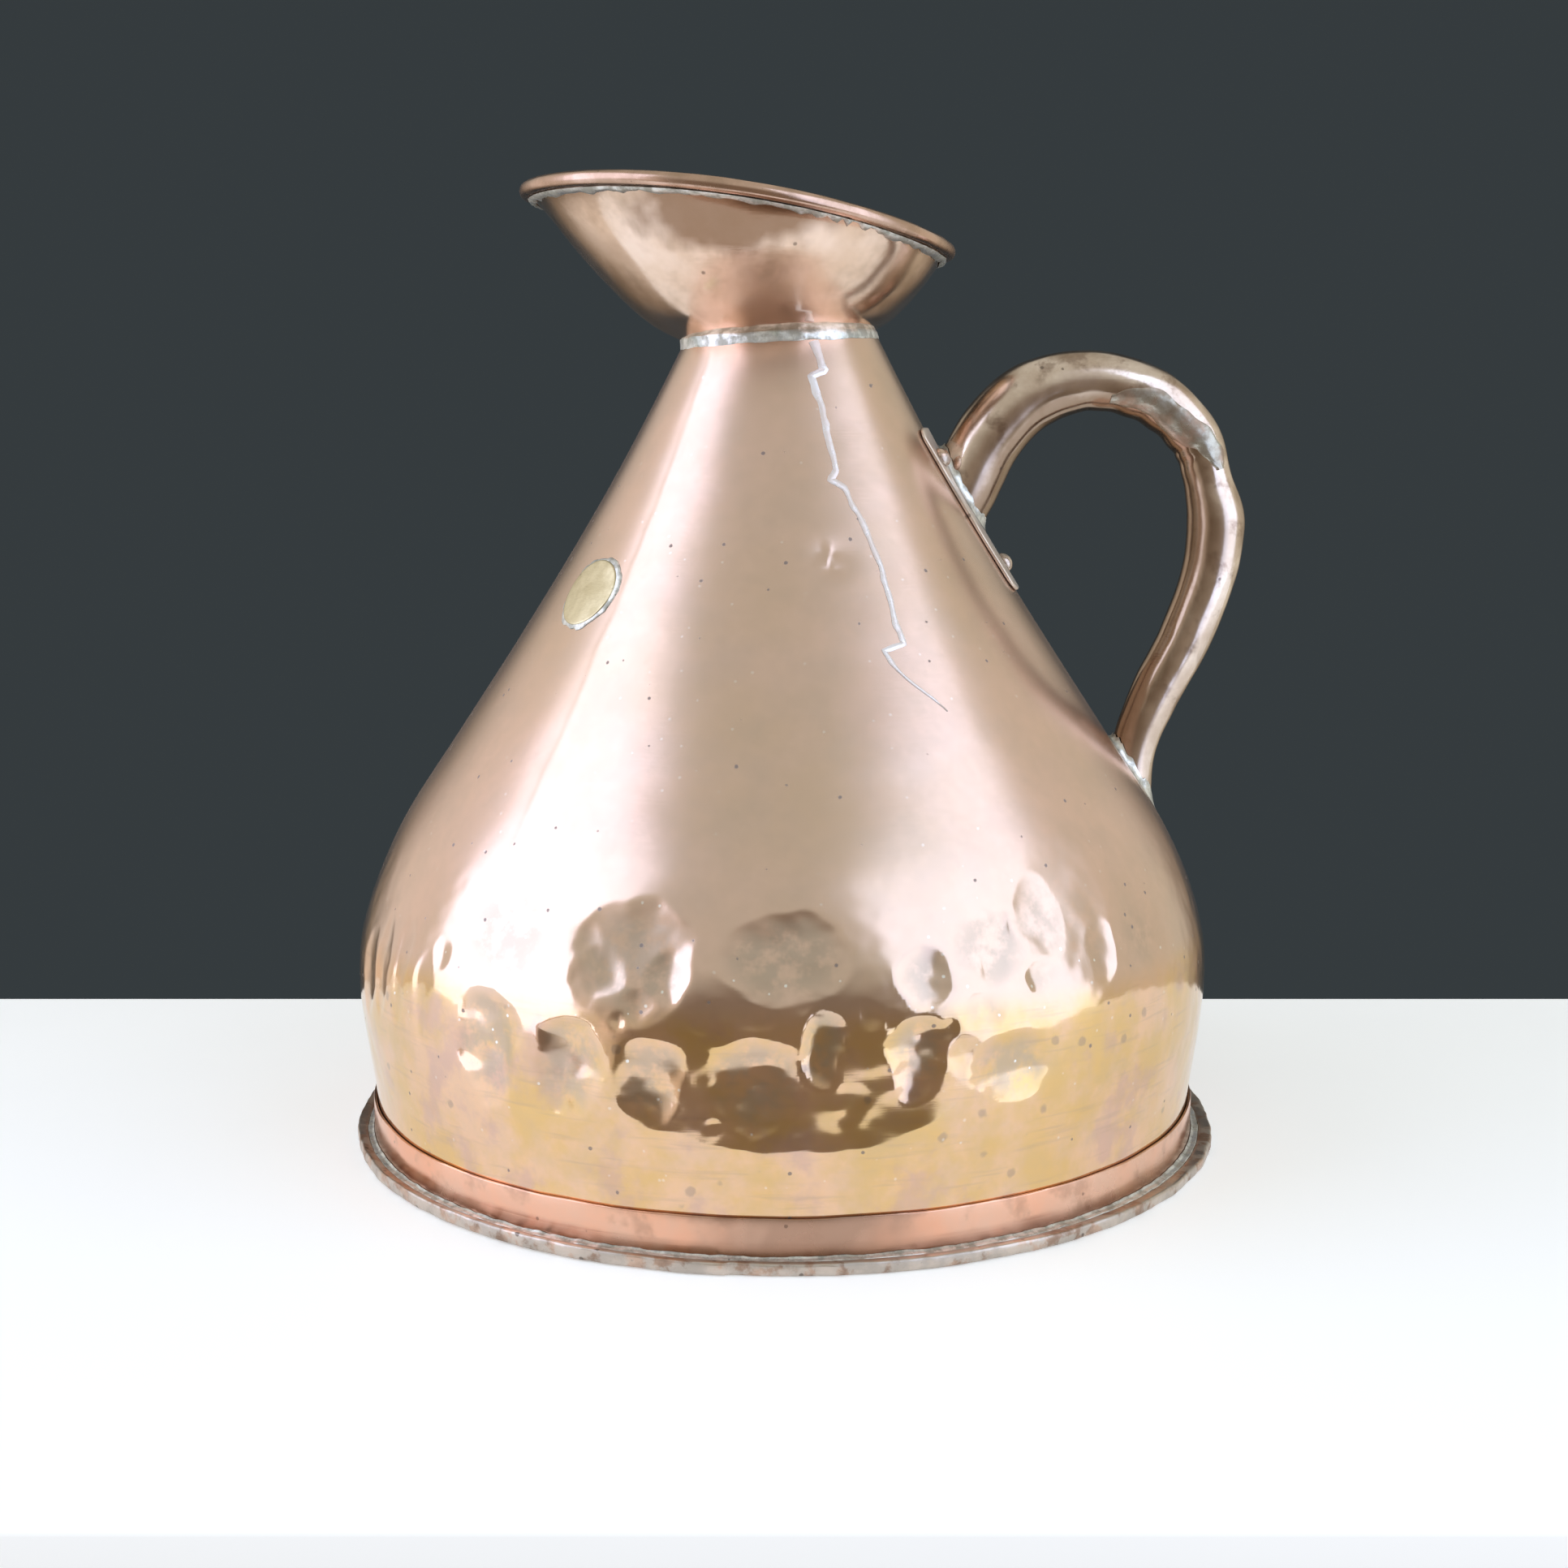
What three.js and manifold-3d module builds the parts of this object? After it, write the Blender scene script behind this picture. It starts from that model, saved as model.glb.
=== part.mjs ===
// Copper measure jug of the tall haystack kind, in millimetres with +Z up.
// The origin is the centre of the base, on the surface that the jug stands on.
// The handle points along +X, the pouring lip along -X, and the front of the jug is -Y.
import * as THREE from "three";
import { mergeVertices } from "three/addons/utils/BufferGeometryUtils.js";
import Module from "manifold-3d";

const wasm = await Module();
wasm.setup();

// Clearance between pieces that touch
const gap = 0.3;

// Body sheet: outer radii and heights of its outline, from the foot up to the neck
const bodyWall = 1.2;
const bellyRadius = 176.2;
const bellyHeight = 64;
const footInset = 5.8;
const shoulderInset = 17.4;
const shoulderHeight = 129;
const coneHollow = 4.5;
const neckRadius = 39;
const neckHeight = 326;
const neckTilt = 0.058;

// Mouth: an oblique funnel whose round rim stands off the axis, towards the lip
const mouthWall = 1.2;
const mouthRise = 48.3;
const rimRadius = 84.3;
const rimShift = 17.7;
const rimTilt = 0.139;
const rimCrown = 2.7;
const sleeveLength = 8;
const beadRadius = 3;
const beadWall = 0.7;
const rimSolderDrop = 3;
const rimSolderBulge = 1.5;
const waistRise = 1.4;
const neckSolderDrop = 2.4;
const neckSolderReach = 2.2;
const neckSolderBulge = 0.5;

// Foot: a flat base folded up and over the flange of an L-section band
const baseThickness = 1.2;
const flangeReach = 8;
const lipShare = 0.61;
const lipLift = 2.2;
const lipSway = 1.1;
const lipSwayAzimuth = -35;
const bandWall = 1.4;
const bandTop = 19;
const footSolderRise = 2.2;

// Handle: a tube that tapers from its root on the cone to its foot on the belly
const rootDrop = 60;
const handleFootHeight = 150;
const handleReach = 106.4;
const handleRise = 43.8;
const rootTubeRadius = 14.5;
const midTubeRadius = 11.7;
const footTubeRadius = 9.3;
const tubeWall = 1.2;
const collarWide = 3.2;
const collarHigh = 4;
const handleSeamBulge = 0.8;
const handleSeamForward = 7;

// Plate under the upper end of the handle, and its three rivets
const plateDrop = 8;
const plateLength = 75;
const plateWidth = 45;
const plateWall = 1.5;
const plateCorner = 6;
const rivetHeadRadius = 4.2;
const rivetHeadHeight = 3;
const rivetShankRadius = 2.2;
const rivetTailRadius = 3.6;
const rivetUpset = 1.6;
const upperRivetAside = 16.2;
const upperRivetInset = 14;
const lowerRivetInset = 11;

// Brass disc, soldered on the cone to the left of the front
const discRadius = 14.2;
const discThickness = 0.9;
const discAzimuth = -142;
const discHeight = 228;
const discSolderWidth = 2.4;
const discSolderThickness = 0.7;

// Side seam of the body sheet: its braze stands a little proud of the copper
const seamWidth = 2.4;
const seamProud = 0.5;

// How finely round shapes are divided
const bodySegments = 60;
const mouthSegments = 40;
const tubeSides = 12;
const tubeStations = 24;
const bellyRows = 13;
const coneRows = 6;

const radians = THREE.MathUtils.degToRad;
const { lerp, smoothstep, clamp } = THREE.MathUtils;

// Closed surface through a loop of rings, each a closed loop of as many points
function skin(rings) {
  const count = rings[0].length;
  const indices = [];
  rings.forEach((ring, i) => {
    const next = ((i + 1) % rings.length) * count;
    ring.forEach((point, k) => {
      const k2 = (k + 1) % count;
      indices.push(i * count + k, next + k, next + k2);
      indices.push(i * count + k, next + k2, i * count + k2);
    });
  });
  const geometry = new THREE.BufferGeometry().setFromPoints(rings.flat());
  geometry.setIndex(indices);
  geometry.computeVertexNormals();
  return geometry;
}

// Closed surface through a row of rings, with its two ends closed by fans
function rod(rings) {
  const middle = (ring) =>
    ring.reduce((sum, p) => sum.add(p), new THREE.Vector3()).divideScalar(ring.length);
  const start = rings[0].map(() => middle(rings[0]));
  const end = rings[0].map(() => middle(rings.at(-1)));
  const geometry = skin([start, ...rings, end]);
  geometry.deleteAttribute("normal");
  return geometry;
}

// Ring-shaped piece whose section, a loop of points, is given for each azimuth
function ringPiece(sectionAt, segments) {
  const rings = [];
  for (let i = 0; i < segments; i++) rings.push(sectionAt((2 * Math.PI * i) / segments));
  return skin(rings);
}

// Round piece about the Z axis, from its half section as pairs of radius and height
function turned(profile, segments) {
  const points = profile.map(([r, z]) => new THREE.Vector2(r, z));
  return new THREE.LatheGeometry(points, segments).rotateX(Math.PI / 2);
}

// A geometry as a solid that can be joined and cut
function solid(geometry) {
  const bare = geometry.clone();
  bare.deleteAttribute("normal");
  bare.deleteAttribute("uv");
  const merged = mergeVertices(bare, 1e-4);
  return new wasm.Manifold(
    new wasm.Mesh({
      numProp: 3,
      vertProperties: merged.attributes.position.array,
      triVerts: new Uint32Array(merged.index.array),
    }),
  );
}

// A solid back as a geometry
function shapeOf(body) {
  const { vertProperties, triVerts, numProp } = body.getMesh();
  const points = new THREE.InterleavedBuffer(vertProperties, numProp);
  const geometry = new THREE.BufferGeometry();
  geometry.setAttribute("position", new THREE.InterleavedBufferAttribute(points, 3, 0));
  geometry.setIndex(new THREE.BufferAttribute(triVerts, 1));
  const flat = geometry.toNonIndexed();
  flat.computeVertexNormals();
  return flat;
}

// Point at an azimuth, a radius and a height
function polar(azimuth, radius, height) {
  return new THREE.Vector3(radius * Math.cos(azimuth), radius * Math.sin(azimuth), height);
}

// Body outline
const footRadius = bellyRadius - footInset;
const shoulderRadius = bellyRadius - shoulderInset;
const bodyFoot = baseThickness + gap;
const outline = new THREE.SplineCurve(
  [
    [footRadius, bodyFoot],
    [lerp(footRadius, bellyRadius, 0.086), lerp(bodyFoot, bellyHeight, 0.32)],
    [bellyRadius, bellyHeight],
    [lerp(bellyRadius, shoulderRadius, 0.17), lerp(bellyHeight, shoulderHeight, 0.48)],
    [shoulderRadius, shoulderHeight],
    ...[0.2, 0.4, 0.6, 0.8, 1].map((t) => [
      lerp(shoulderRadius, neckRadius, t) - coneHollow * Math.sin(Math.PI * t ** 1.3),
      lerp(shoulderHeight, neckHeight, t),
    ]),
    [lerp(shoulderRadius, neckRadius, 1.02), lerp(shoulderHeight, neckHeight, 1.025)],
  ].map(([r, z]) => new THREE.Vector2(r, z)),
);

// Where the outline reaches a height, found by halving
function outlineAt(height) {
  let low = 0;
  let high = 1;
  for (let i = 0; i < 24; i++) {
    const middle = (low + high) / 2;
    if (outline.getPoint(middle).y < height) low = middle;
    else high = middle;
  }
  const at = outline.getPoint(low);
  const along = outline.getTangent(low);
  return { radius: at.x, along, out: new THREE.Vector2(along.y, -along.x) };
}

// Radius and height of the point on the body at a height, moved out along the normal
function bodyPoint(height, out) {
  const at = outlineAt(height);
  return [at.radius + at.out.x * out, height + at.out.y * out];
}

const bodyRadiusAt = (height) => outlineAt(height).radius;

// Height of the slanting neck joint
const neckEdge = (azimuth) => neckHeight + neckTilt * neckRadius * Math.cos(azimuth);

// Axes on the body surface: X round the body, Y up its slope, Z outwards
function frameOnBody(azimuth, height) {
  const at = outlineAt(height);
  const round = polar(azimuth + Math.PI / 2, 1, 0);
  const up = polar(azimuth, at.along.x, at.along.y);
  const out = polar(azimuth, at.out.x, at.out.y);
  return new THREE.Matrix4()
    .makeBasis(round, up, out)
    .setPosition(polar(azimuth, at.radius, height));
}

// Dents of the belly: azimuth in degrees, height, half width, half height and depth
const dents = [
  [-130, 113, 27, 19, 2.6],
  [-108, 116, 21, 14, 3.2],
  [-110, 100, 15, 12, 2.6],
  [-102, 104, 13, 11, 2.2],
  [-90, 112, 24, 17, 2.4],
  [-73, 103, 12, 11, 2.4],
  [-63, 110, 17, 17, 3],
  [-66, 89, 9, 9, 1.8],
  [-129, 78, 15, 26, 3.2],
  [-116, 72, 17, 18, 3],
  [-105, 66, 16, 20, 3.2],
  [-94, 69, 20, 21, 3.4],
  [-85, 81, 12, 18, 2.4],
  [-82, 62, 10, 12, 2.2],
  [-75, 82, 11, 12, 2.6],
  [-63, 67, 22, 13, 2.6],
  [-39, 104, 20, 15, 1.6],
  [-147, 88, 12, 16, 2],
  [-144, 60, 12, 18, 2.2],
  [35, 84, 24, 18, 2.2],
  [78, 62, 18, 20, 2.6],
  [96, 104, 22, 16, 2.2],
  [128, 74, 20, 24, 2.8],
  [163, 96, 18, 16, 2],
];

// How far the sheet is pushed in at an azimuth and a height
function dentDepth(azimuth, height) {
  const radius = bodyRadiusAt(height);
  return dents.reduce((deepest, [at, level, halfWidth, halfHeight, depth]) => {
    const turn = azimuth - radians(at);
    const across = radius * Math.atan2(Math.sin(turn), Math.cos(turn));
    const away = (across / halfWidth) ** 2 + ((height - level) / halfHeight) ** 2;
    return Math.max(deepest, away < 1 ? depth * (1 - away) ** 1.5 : 0);
  }, 0);
}

// Heights of the rows of the body mesh, close together where the dents are
const dentedTop = shoulderHeight + 14;
const rowHeights = [];
for (let i = 0; i < bellyRows; i++) rowHeights.push(lerp(bodyFoot, dentedTop, i / bellyRows));
for (let i = 0; i <= coneRows; i++) rowHeights.push(lerp(dentedTop, neckHeight, i / coneRows));

// Solid of revolution that stands off the body surface by a distance, between two heights
function bodyCore(out, low, high) {
  const heights = [low, ...rowHeights.filter((z) => z > low + 1 && z < high - 1), high];
  const side = heights.map((z) => bodyPoint(z, out));
  return solid(turned([[0, side[0][1]], ...side, [0, side.at(-1)[1]]], bodySegments));
}

// Layer that follows the body surface between two distances from it
const bodyLayer = (from, to, low, high) =>
  bodyCore(to, low, high).subtract(bodyCore(from, low - 5, high + 5));

// Straight cutter along the normal at a place on the body, from a flat outline
const cutterReach = 24;
function cutterOnBody(shape, azimuth, height) {
  const prism = new THREE.ExtrudeGeometry(shape, {
    depth: 2 * cutterReach,
    bevelEnabled: false,
    curveSegments: 5,
  });
  prism.translate(0, 0, -cutterReach);
  return solid(prism.applyMatrix4(frameOnBody(azimuth, height)));
}

const roundShape = (radius) => new THREE.Shape().absarc(0, 0, radius, 0, 2 * Math.PI);

// Body sheet, with rivet holes
function bodyShell() {
  const shell = ringPiece((azimuth) => {
    const stretch = (neckEdge(azimuth) - neckHeight) / neckHeight;
    const wallPoint = (z, inwards) => {
      const height = z * (1 + stretch * smoothstep(z, dentedTop, neckHeight));
      const out = -dentDepth(azimuth, height) - inwards;
      return polar(azimuth, ...bodyPoint(height, out));
    };
    const outer = rowHeights.map((z) => wallPoint(z, 0));
    const inner = rowHeights.map((z) => wallPoint(z, bodyWall)).reverse();
    return [...outer, ...inner];
  }, bodySegments);
  return withRivetHoles(solid(shell));
}

// Braze line of the side seam: azimuths and shares of the way down the cone, with its jogs
function seamBraze() {
  const route = [
    [-72, 0.028],
    [-69.5, 0.066],
    [-76, 0.079],
    [-73.5, 0.142],
    [-72, 0.259],
    [-74.5, 0.277],
    [-70.5, 0.292],
    [-67, 0.355],
    [-65, 0.437],
    [-65, 0.543],
    [-64.5, 0.579],
    [-69.5, 0.589],
    [-67.5, 0.624],
    [-62, 0.675],
    [-59.5, 0.701],
  ];
  const rings = route.map(([degrees, drop], i) => {
    const azimuth = radians(degrees);
    const height = lerp(neckHeight, shoulderHeight, drop);
    const waver = 0.8 + 0.3 * Math.sin(2.7 * i);
    const edge = (side, out) => {
      const turn = (side * waver * seamWidth) / 2 / bodyRadiusAt(height);
      return polar(azimuth + turn, ...bodyPoint(height, out));
    };
    const top = gap + seamProud;
    return [edge(-1, gap), edge(-1, top), edge(1, top), edge(1, gap)];
  });
  return rod(rings);
}

// Centre of the rolled bead at an azimuth
function beadCentre(azimuth) {
  const drop = rimTilt * rimRadius * Math.cos(azimuth) + rimCrown * Math.cos(2 * azimuth);
  const centre = polar(azimuth, rimRadius, neckHeight + mouthRise - drop);
  centre.x -= rimShift;
  return centre;
}

// The mouth at an azimuth: its curve from the neck up to the bead, and axes at any point of it
const wireRadius = beadRadius - beadWall - 2 * gap;
const mouthCurve = [
  [0.22, 0.125],
  [0.44, 0.325],
  [0.67, 0.595],
  [0.88, 0.88],
];
function mouthMeridian(azimuth) {
  const edge = neckEdge(azimuth);
  const inset = bodyWall + gap + mouthWall / 2;
  const start = polar(azimuth, bodyRadiusAt(edge) - inset, edge + waistRise);
  const bead = beadCentre(azimuth);
  const between = mouthCurve.map(
    ([across, rise]) =>
      new THREE.Vector3(
        lerp(start.x, bead.x, across),
        lerp(start.y, bead.y, across),
        lerp(start.z, bead.z, rise),
      ),
  );
  const along = bead.clone().sub(between.at(-1)).normalize();
  const end = bead.clone().addScaledVector(along, -wireRadius - gap);
  const curve = new THREE.CatmullRomCurve3([start, ...between, end]);
  const round = new THREE.Vector3(-(bead.y - start.y), bead.x - start.x, 0).normalize();
  const pointAt = (t, out) => {
    const outwards = curve.getTangent(t).cross(round).negate();
    return curve.getPoint(t).addScaledVector(outwards, out);
  };
  const sleevePoint = (out) => polar(azimuth, bodyRadiusAt(edge) - inset + out, edge - sleeveLength);
  return {
    pointAt,
    sleevePoint,
    waist: (out) => pointAt(neckSolderReach / curve.getLength(), out),
    start,
    bead,
    along,
    outwards: along.clone().cross(round).negate(),
  };
}

// Funnel of the mouth with its sleeve
const mouthStations = 8;
function mouthFunnel() {
  return ringPiece((azimuth) => {
    const { sleevePoint, start, pointAt } = mouthMeridian(azimuth);
    const side = (out) => {
      const points = [sleevePoint(out), polar(azimuth, Math.hypot(start.x, start.y) + out, start.z)];
      for (let i = 1; i <= mouthStations; i++) points.push(pointAt(i / mouthStations, out));
      return points;
    };
    return [...side(mouthWall / 2), ...side(-mouthWall / 2).reverse()];
  }, mouthSegments);
}

// Ring whose section is laid out beside the bead centre, along the wall and out from it
function rimRing(section) {
  return ringPiece((azimuth) => {
    const { bead, along, outwards } = mouthMeridian(azimuth);
    return section.map(([forward, aside]) =>
      bead.clone().addScaledVector(along, forward).addScaledVector(outwards, aside),
    );
  }, mouthSegments);
}

// Arc of a section, as points on a circle round the bead centre
function arc(radius, from, to, steps) {
  const points = [];
  for (let i = 0; i <= steps; i++) {
    const angle = lerp(from, to, i / steps);
    points.push([radius * Math.cos(angle), radius * Math.sin(angle)]);
  }
  return points;
}

// Rolled bead, open on the side where it grips the edge of the funnel
function rimBead() {
  const inner = beadRadius - beadWall;
  const half = Math.PI - Math.asin((mouthWall / 2 + gap) / inner);
  return rimRing([...arc(beadRadius, half, -half, 7), ...arc(inner, -half, half, 5)]);
}

const rimWire = () => rimRing(arc(wireRadius, Math.PI, -Math.PI, 6).slice(1));

// Solder in the angle between the funnel and the bead
function rimSolder() {
  const wallSide = mouthWall / 2 + gap;
  const clear = beadRadius + gap;
  const bulge = wallSide + rimSolderBulge;
  const onBead = (aside) => -Math.sqrt(clear ** 2 - aside ** 2);
  return rimRing([
    [onBead(wallSide), wallSide],
    [onBead(wallSide) - rimSolderDrop, wallSide],
    [onBead(wallSide) - 0.7 * rimSolderDrop, wallSide + 0.6 * rimSolderBulge],
    [onBead(bulge), bulge],
  ]);
}

// Wiped solder round the waist between the body and the funnel
function neckSolder() {
  const clear = mouthWall / 2 + gap;
  return ringPiece((azimuth) => {
    const edge = neckEdge(azimuth);
    const below = edge - neckSolderDrop;
    const { start, waist } = mouthMeridian(azimuth);
    return [
      polar(azimuth, ...bodyPoint(below, gap)),
      polar(azimuth, ...bodyPoint(below, gap + 0.7 * neckSolderBulge)),
      polar(azimuth, bodyRadiusAt(edge) + gap + neckSolderBulge, edge),
      waist(clear + neckSolderBulge),
      waist(clear),
      polar(azimuth, Math.hypot(start.x, start.y) + clear, edge + gap),
      polar(azimuth, ...bodyPoint(edge + gap, gap)),
    ];
  }, mouthSegments);
}

// Foot pieces share the radius where the flange begins and the way its rim is bent up and pushed aside
const bandInner = Math.max(footRadius, bodyRadiusAt(bandTop)) + gap;
const bandOuter = bandInner + bandWall;
const flangeRadius = bandOuter + flangeReach;
const lipInner = flangeRadius - lipShare * flangeReach;
const lipTop = 3 * baseThickness + 2 * gap;
function bendRim(geometry) {
  const position = geometry.attributes.position;
  const point = new THREE.Vector3();
  for (let i = 0; i < position.count; i++) {
    point.fromBufferAttribute(position, i);
    const azimuth = Math.atan2(point.y, point.x);
    const radius = Math.hypot(point.x, point.y);
    const share = clamp((radius - bandOuter) / flangeReach, 0, 1);
    const wave = 0.5 - 0.35 * Math.cos(azimuth) + 0.15 * Math.sin(5 * azimuth);
    const sway = lipSway * share * Math.cos(azimuth - radians(lipSwayAzimuth));
    point.addScaledVector(polar(azimuth, 1, 0), sway);
    point.z += lipLift * wave * share ** 1.5;
    position.setXYZ(i, point.x, point.y, point.z);
  }
  geometry.computeVertexNormals();
  return geometry;
}

// Base: a flat disc turned up and folded over the flange
function basePlate() {
  return bendRim(
    turned(
      [
        [0, 0],
        [bandOuter, 0],
        [flangeRadius, 0],
        [flangeRadius, lipTop],
        [lipInner, lipTop],
        [lipInner, lipTop - baseThickness],
        [flangeRadius - baseThickness, lipTop - baseThickness],
        [flangeRadius - baseThickness, baseThickness],
        [bandOuter, baseThickness],
        [0, baseThickness],
      ],
      bodySegments,
    ),
  );
}

// Foot band: an upright web round the body, and a flange inside the fold of the base
function footBand() {
  const flangeLow = baseThickness + gap;
  const flangeHigh = flangeLow + baseThickness;
  const flangeOuter = flangeRadius - baseThickness - gap;
  return bendRim(
    turned(
      [
        [bandInner, flangeLow],
        [bandOuter, flangeLow],
        [flangeOuter, flangeLow],
        [flangeOuter, flangeHigh],
        [bandOuter, flangeHigh],
        [bandOuter, bandTop],
        [bandInner, bandTop],
        [bandInner, flangeLow],
      ],
      bodySegments,
    ),
  );
}

// Solder fillet between the band and the folded lip
function footSolder() {
  const low = 2 * (baseThickness + gap);
  return bendRim(
    turned(
      [
        [bandOuter + gap, low],
        [lipInner - gap, low],
        [lipInner - gap, lipTop + gap],
        [bandOuter + gap, low + footSolderRise],
        [bandOuter + gap, low],
      ],
      bodySegments,
    ),
  );
}

// Centre line of the handle in the plane y = 0: each point holds distance, height and tube radius.
// Distances are shares of the handle's reach, heights shares of its rise or of the span to its foot.
const rootHeight = neckHeight - rootDrop;
const rootAt = bodyRadiusAt(rootHeight);
const footAt = bodyRadiusAt(handleFootHeight);
const handleSpan = rootHeight - handleFootHeight;
const fromRoot = (across, rise, radius) =>
  new THREE.Vector3(rootAt + across * handleReach, rootHeight + rise * handleRise, radius);
const fromFoot = (across, rise, radius) =>
  new THREE.Vector3(footAt + across * handleReach, handleFootHeight + rise * handleSpan, radius);
const handleLine = new THREE.CatmullRomCurve3([
  fromRoot(-0.066, -0.41, rootTubeRadius),
  fromRoot(0.0235, 0, rootTubeRadius),
  fromRoot(0.119, 0.47, rootTubeRadius),
  fromRoot(0.279, 0.86, 0.98 * rootTubeRadius),
  fromRoot(0.502, 1, 1.07 * midTubeRadius),
  fromRoot(0.737, 0.86, midTubeRadius),
  fromRoot(0.908, 0.49, 0.93 * midTubeRadius),
  fromRoot(0.957, 0.18, 0.87 * midTubeRadius),
  fromRoot(1, -0.27, 1.02 * midTubeRadius),
  fromFoot(0.291, 0.733, midTubeRadius),
  fromFoot(0.197, 0.474, 0.95 * midTubeRadius),
  fromFoot(0.085, 0.267, 1.14 * footTubeRadius),
  fromFoot(0.009, 0.069, 1.02 * footTubeRadius),
  fromFoot(0, -0.172, footTubeRadius),
]);

// Rings round the handle, wider than the tube by a distance, between two stations of its line.
// They may be shifted from the line, by pairs of outwards and backwards.
function handleRings(wider, from = 0, to = tubeStations, shiftAt = () => [0, 0]) {
  const rings = [];
  for (let i = from; i <= to; i++) {
    const t = i / tubeStations;
    const at = handleLine.getPoint(t);
    const along = handleLine.getTangent(t).setZ(0).normalize();
    const [outwards, backwards] = shiftAt((i - from) / (to - from));
    const ring = [];
    for (let k = 0; k < tubeSides; k++) {
      const angle = (2 * Math.PI * k) / tubeSides;
      const beside = Math.cos(angle) * (at.z + wider) + outwards;
      const aside = Math.sin(angle) * (at.z + wider) + backwards;
      ring.push(new THREE.Vector3(at.x - along.y * beside, aside, at.y + along.x * beside));
    }
    rings.push(ring);
  }
  return rings;
}

const handleCore = (wider) => solid(rod(handleRings(wider)));

// Distances from the body at which the plate ends and what lies on it begins
const plateTop = gap + plateWall;
const onPlate = plateTop + gap;
const plateHeight = rootHeight - plateDrop;
const plateLow = plateHeight - 0.7 * plateLength;
const plateHigh = plateHeight + 0.7 * plateLength;

// Handle tube, cut to the plate at its root and to the body at its foot
function handleTube() {
  const tube = solid(skin([...handleRings(0), ...handleRings(-tubeWall).reverse()]));
  return tube
    .subtract(bodyCore(onPlate, plateLow, plateHigh))
    .subtract(bodyCore(gap, bodyFoot, plateLow));
}

// Heights between which the collar at the handle's foot lies
const footCollarLow = handleFootHeight - 40;
const footCollarHigh = handleFootHeight + 40;

// Stepped collar of solder round the handle where it meets what carries it
function solderCollar(from, low, high) {
  const lower = bodyLayer(from, from + collarHigh / 2, low, high).intersect(handleCore(collarWide));
  const upper = bodyLayer(from, from + collarHigh, low, high).intersect(
    handleCore(gap + (collarWide - gap) / 2),
  );
  return lower.add(upper).subtract(handleCore(gap));
}

// Long patch of solder that wanders over the front of the bend, from its inner to its outer side
function handleSeamSolder() {
  const [from, to] = [8, 13];
  const wander = (share) => [lerp(-0.43, 0.26, share) * midTubeRadius, -handleSeamForward];
  const outside = solid(rod(handleRings(gap + handleSeamBulge, from, to)));
  const patch = solid(rod(handleRings(-0.4 * midTubeRadius, from, to, wander)));
  return outside.intersect(patch).subtract(solid(rod(handleRings(gap, from - 2, to + 2))));
}

// Places of the rivets: azimuth and height
const plateSlope = outlineAt(plateHeight).along.y;
const upperRivetHeight = plateHeight + plateSlope * (plateLength / 2 - upperRivetInset);
const lowerRivetHeight = plateHeight - plateSlope * (plateLength / 2 - lowerRivetInset);
const upperRivetTurn = Math.asin(upperRivetAside / bodyRadiusAt(upperRivetHeight));
const rivetPlaces = {
  rivet_upper_front: [-upperRivetTurn, upperRivetHeight],
  rivet_upper_back: [upperRivetTurn, upperRivetHeight],
  rivet_lower: [0, lowerRivetHeight],
};

// A sheet with the holes that the shanks of the rivets pass through
const withRivetHoles = (sheet) =>
  Object.values(rivetPlaces).reduce(
    (rest, [azimuth, height]) =>
      rest.subtract(cutterOnBody(roundShape(rivetShankRadius + gap), azimuth, height)),
    sheet,
  );

// Strengthening plate, bent to the cone, with its corners rounded
function handlePlate() {
  const halfWidth = plateWidth / 2;
  const halfLength = plateLength / 2;
  const corner = (x, y, from) =>
    shape.absarc(x, y, plateCorner, from, from + Math.PI / 2);
  const shape = new THREE.Shape();
  corner(halfWidth - plateCorner, halfLength - plateCorner, 0);
  corner(plateCorner - halfWidth, halfLength - plateCorner, Math.PI / 2);
  corner(plateCorner - halfWidth, plateCorner - halfLength, Math.PI);
  corner(halfWidth - plateCorner, plateCorner - halfLength, 1.5 * Math.PI);
  shape.closePath();
  const bent = bodyLayer(gap, plateTop, plateLow, plateHigh);
  return withRivetHoles(bent.intersect(cutterOnBody(shape, 0, plateHeight)));
}

// Rivet: domed head on the plate, shank through plate and body, hammered head inside
function rivet() {
  const inside = -bodyWall - gap;
  const dome = [0.95, 0.75, 0.4].map((share) => [
    rivetHeadRadius * share,
    onPlate + rivetHeadHeight * Math.sqrt(1 - share ** 2),
  ]);
  return turned(
    [
      [0, inside - rivetUpset],
      [rivetTailRadius - gap, inside - rivetUpset],
      [rivetTailRadius, inside],
      [rivetShankRadius, inside],
      [rivetShankRadius, onPlate],
      [rivetHeadRadius, onPlate],
      ...dome,
      [0, onPlate + rivetHeadHeight],
    ],
    10,
  );
}

// Brass disc and its ring of solder, both bent to the cone
function discPatch(from, to, outer, inner) {
  const azimuth = radians(discAzimuth);
  const room = 1.3 * (discRadius + discSolderWidth);
  const layer = bodyLayer(from, to, discHeight - room, discHeight + room);
  const round = layer.intersect(cutterOnBody(roundShape(outer), azimuth, discHeight));
  return inner ? round.subtract(cutterOnBody(roundShape(inner), azimuth, discHeight)) : round;
}

// Metals
const metal = (color, roughness) =>
  new THREE.MeshStandardMaterial({ color, roughness, metalness: 1 });
const brownCopper = metal(0xb07a5e, 0.28);
const brightCopper = metal(0xc4785a, 0.25);
const darkCopper = metal(0x8f6248, 0.35);
const solderGrey = metal(0xb4b6ae, 0.5);
const brass = metal(0xb09a58, 0.35);
const iron = metal(0x4a4643, 0.7);

// The pieces
const jug = new THREE.Group();
function addPiece(name, geometry, material) {
  const piece = new THREE.Mesh(geometry, material.clone());
  piece.name = name;
  jug.add(piece);
  return piece;
}

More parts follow.
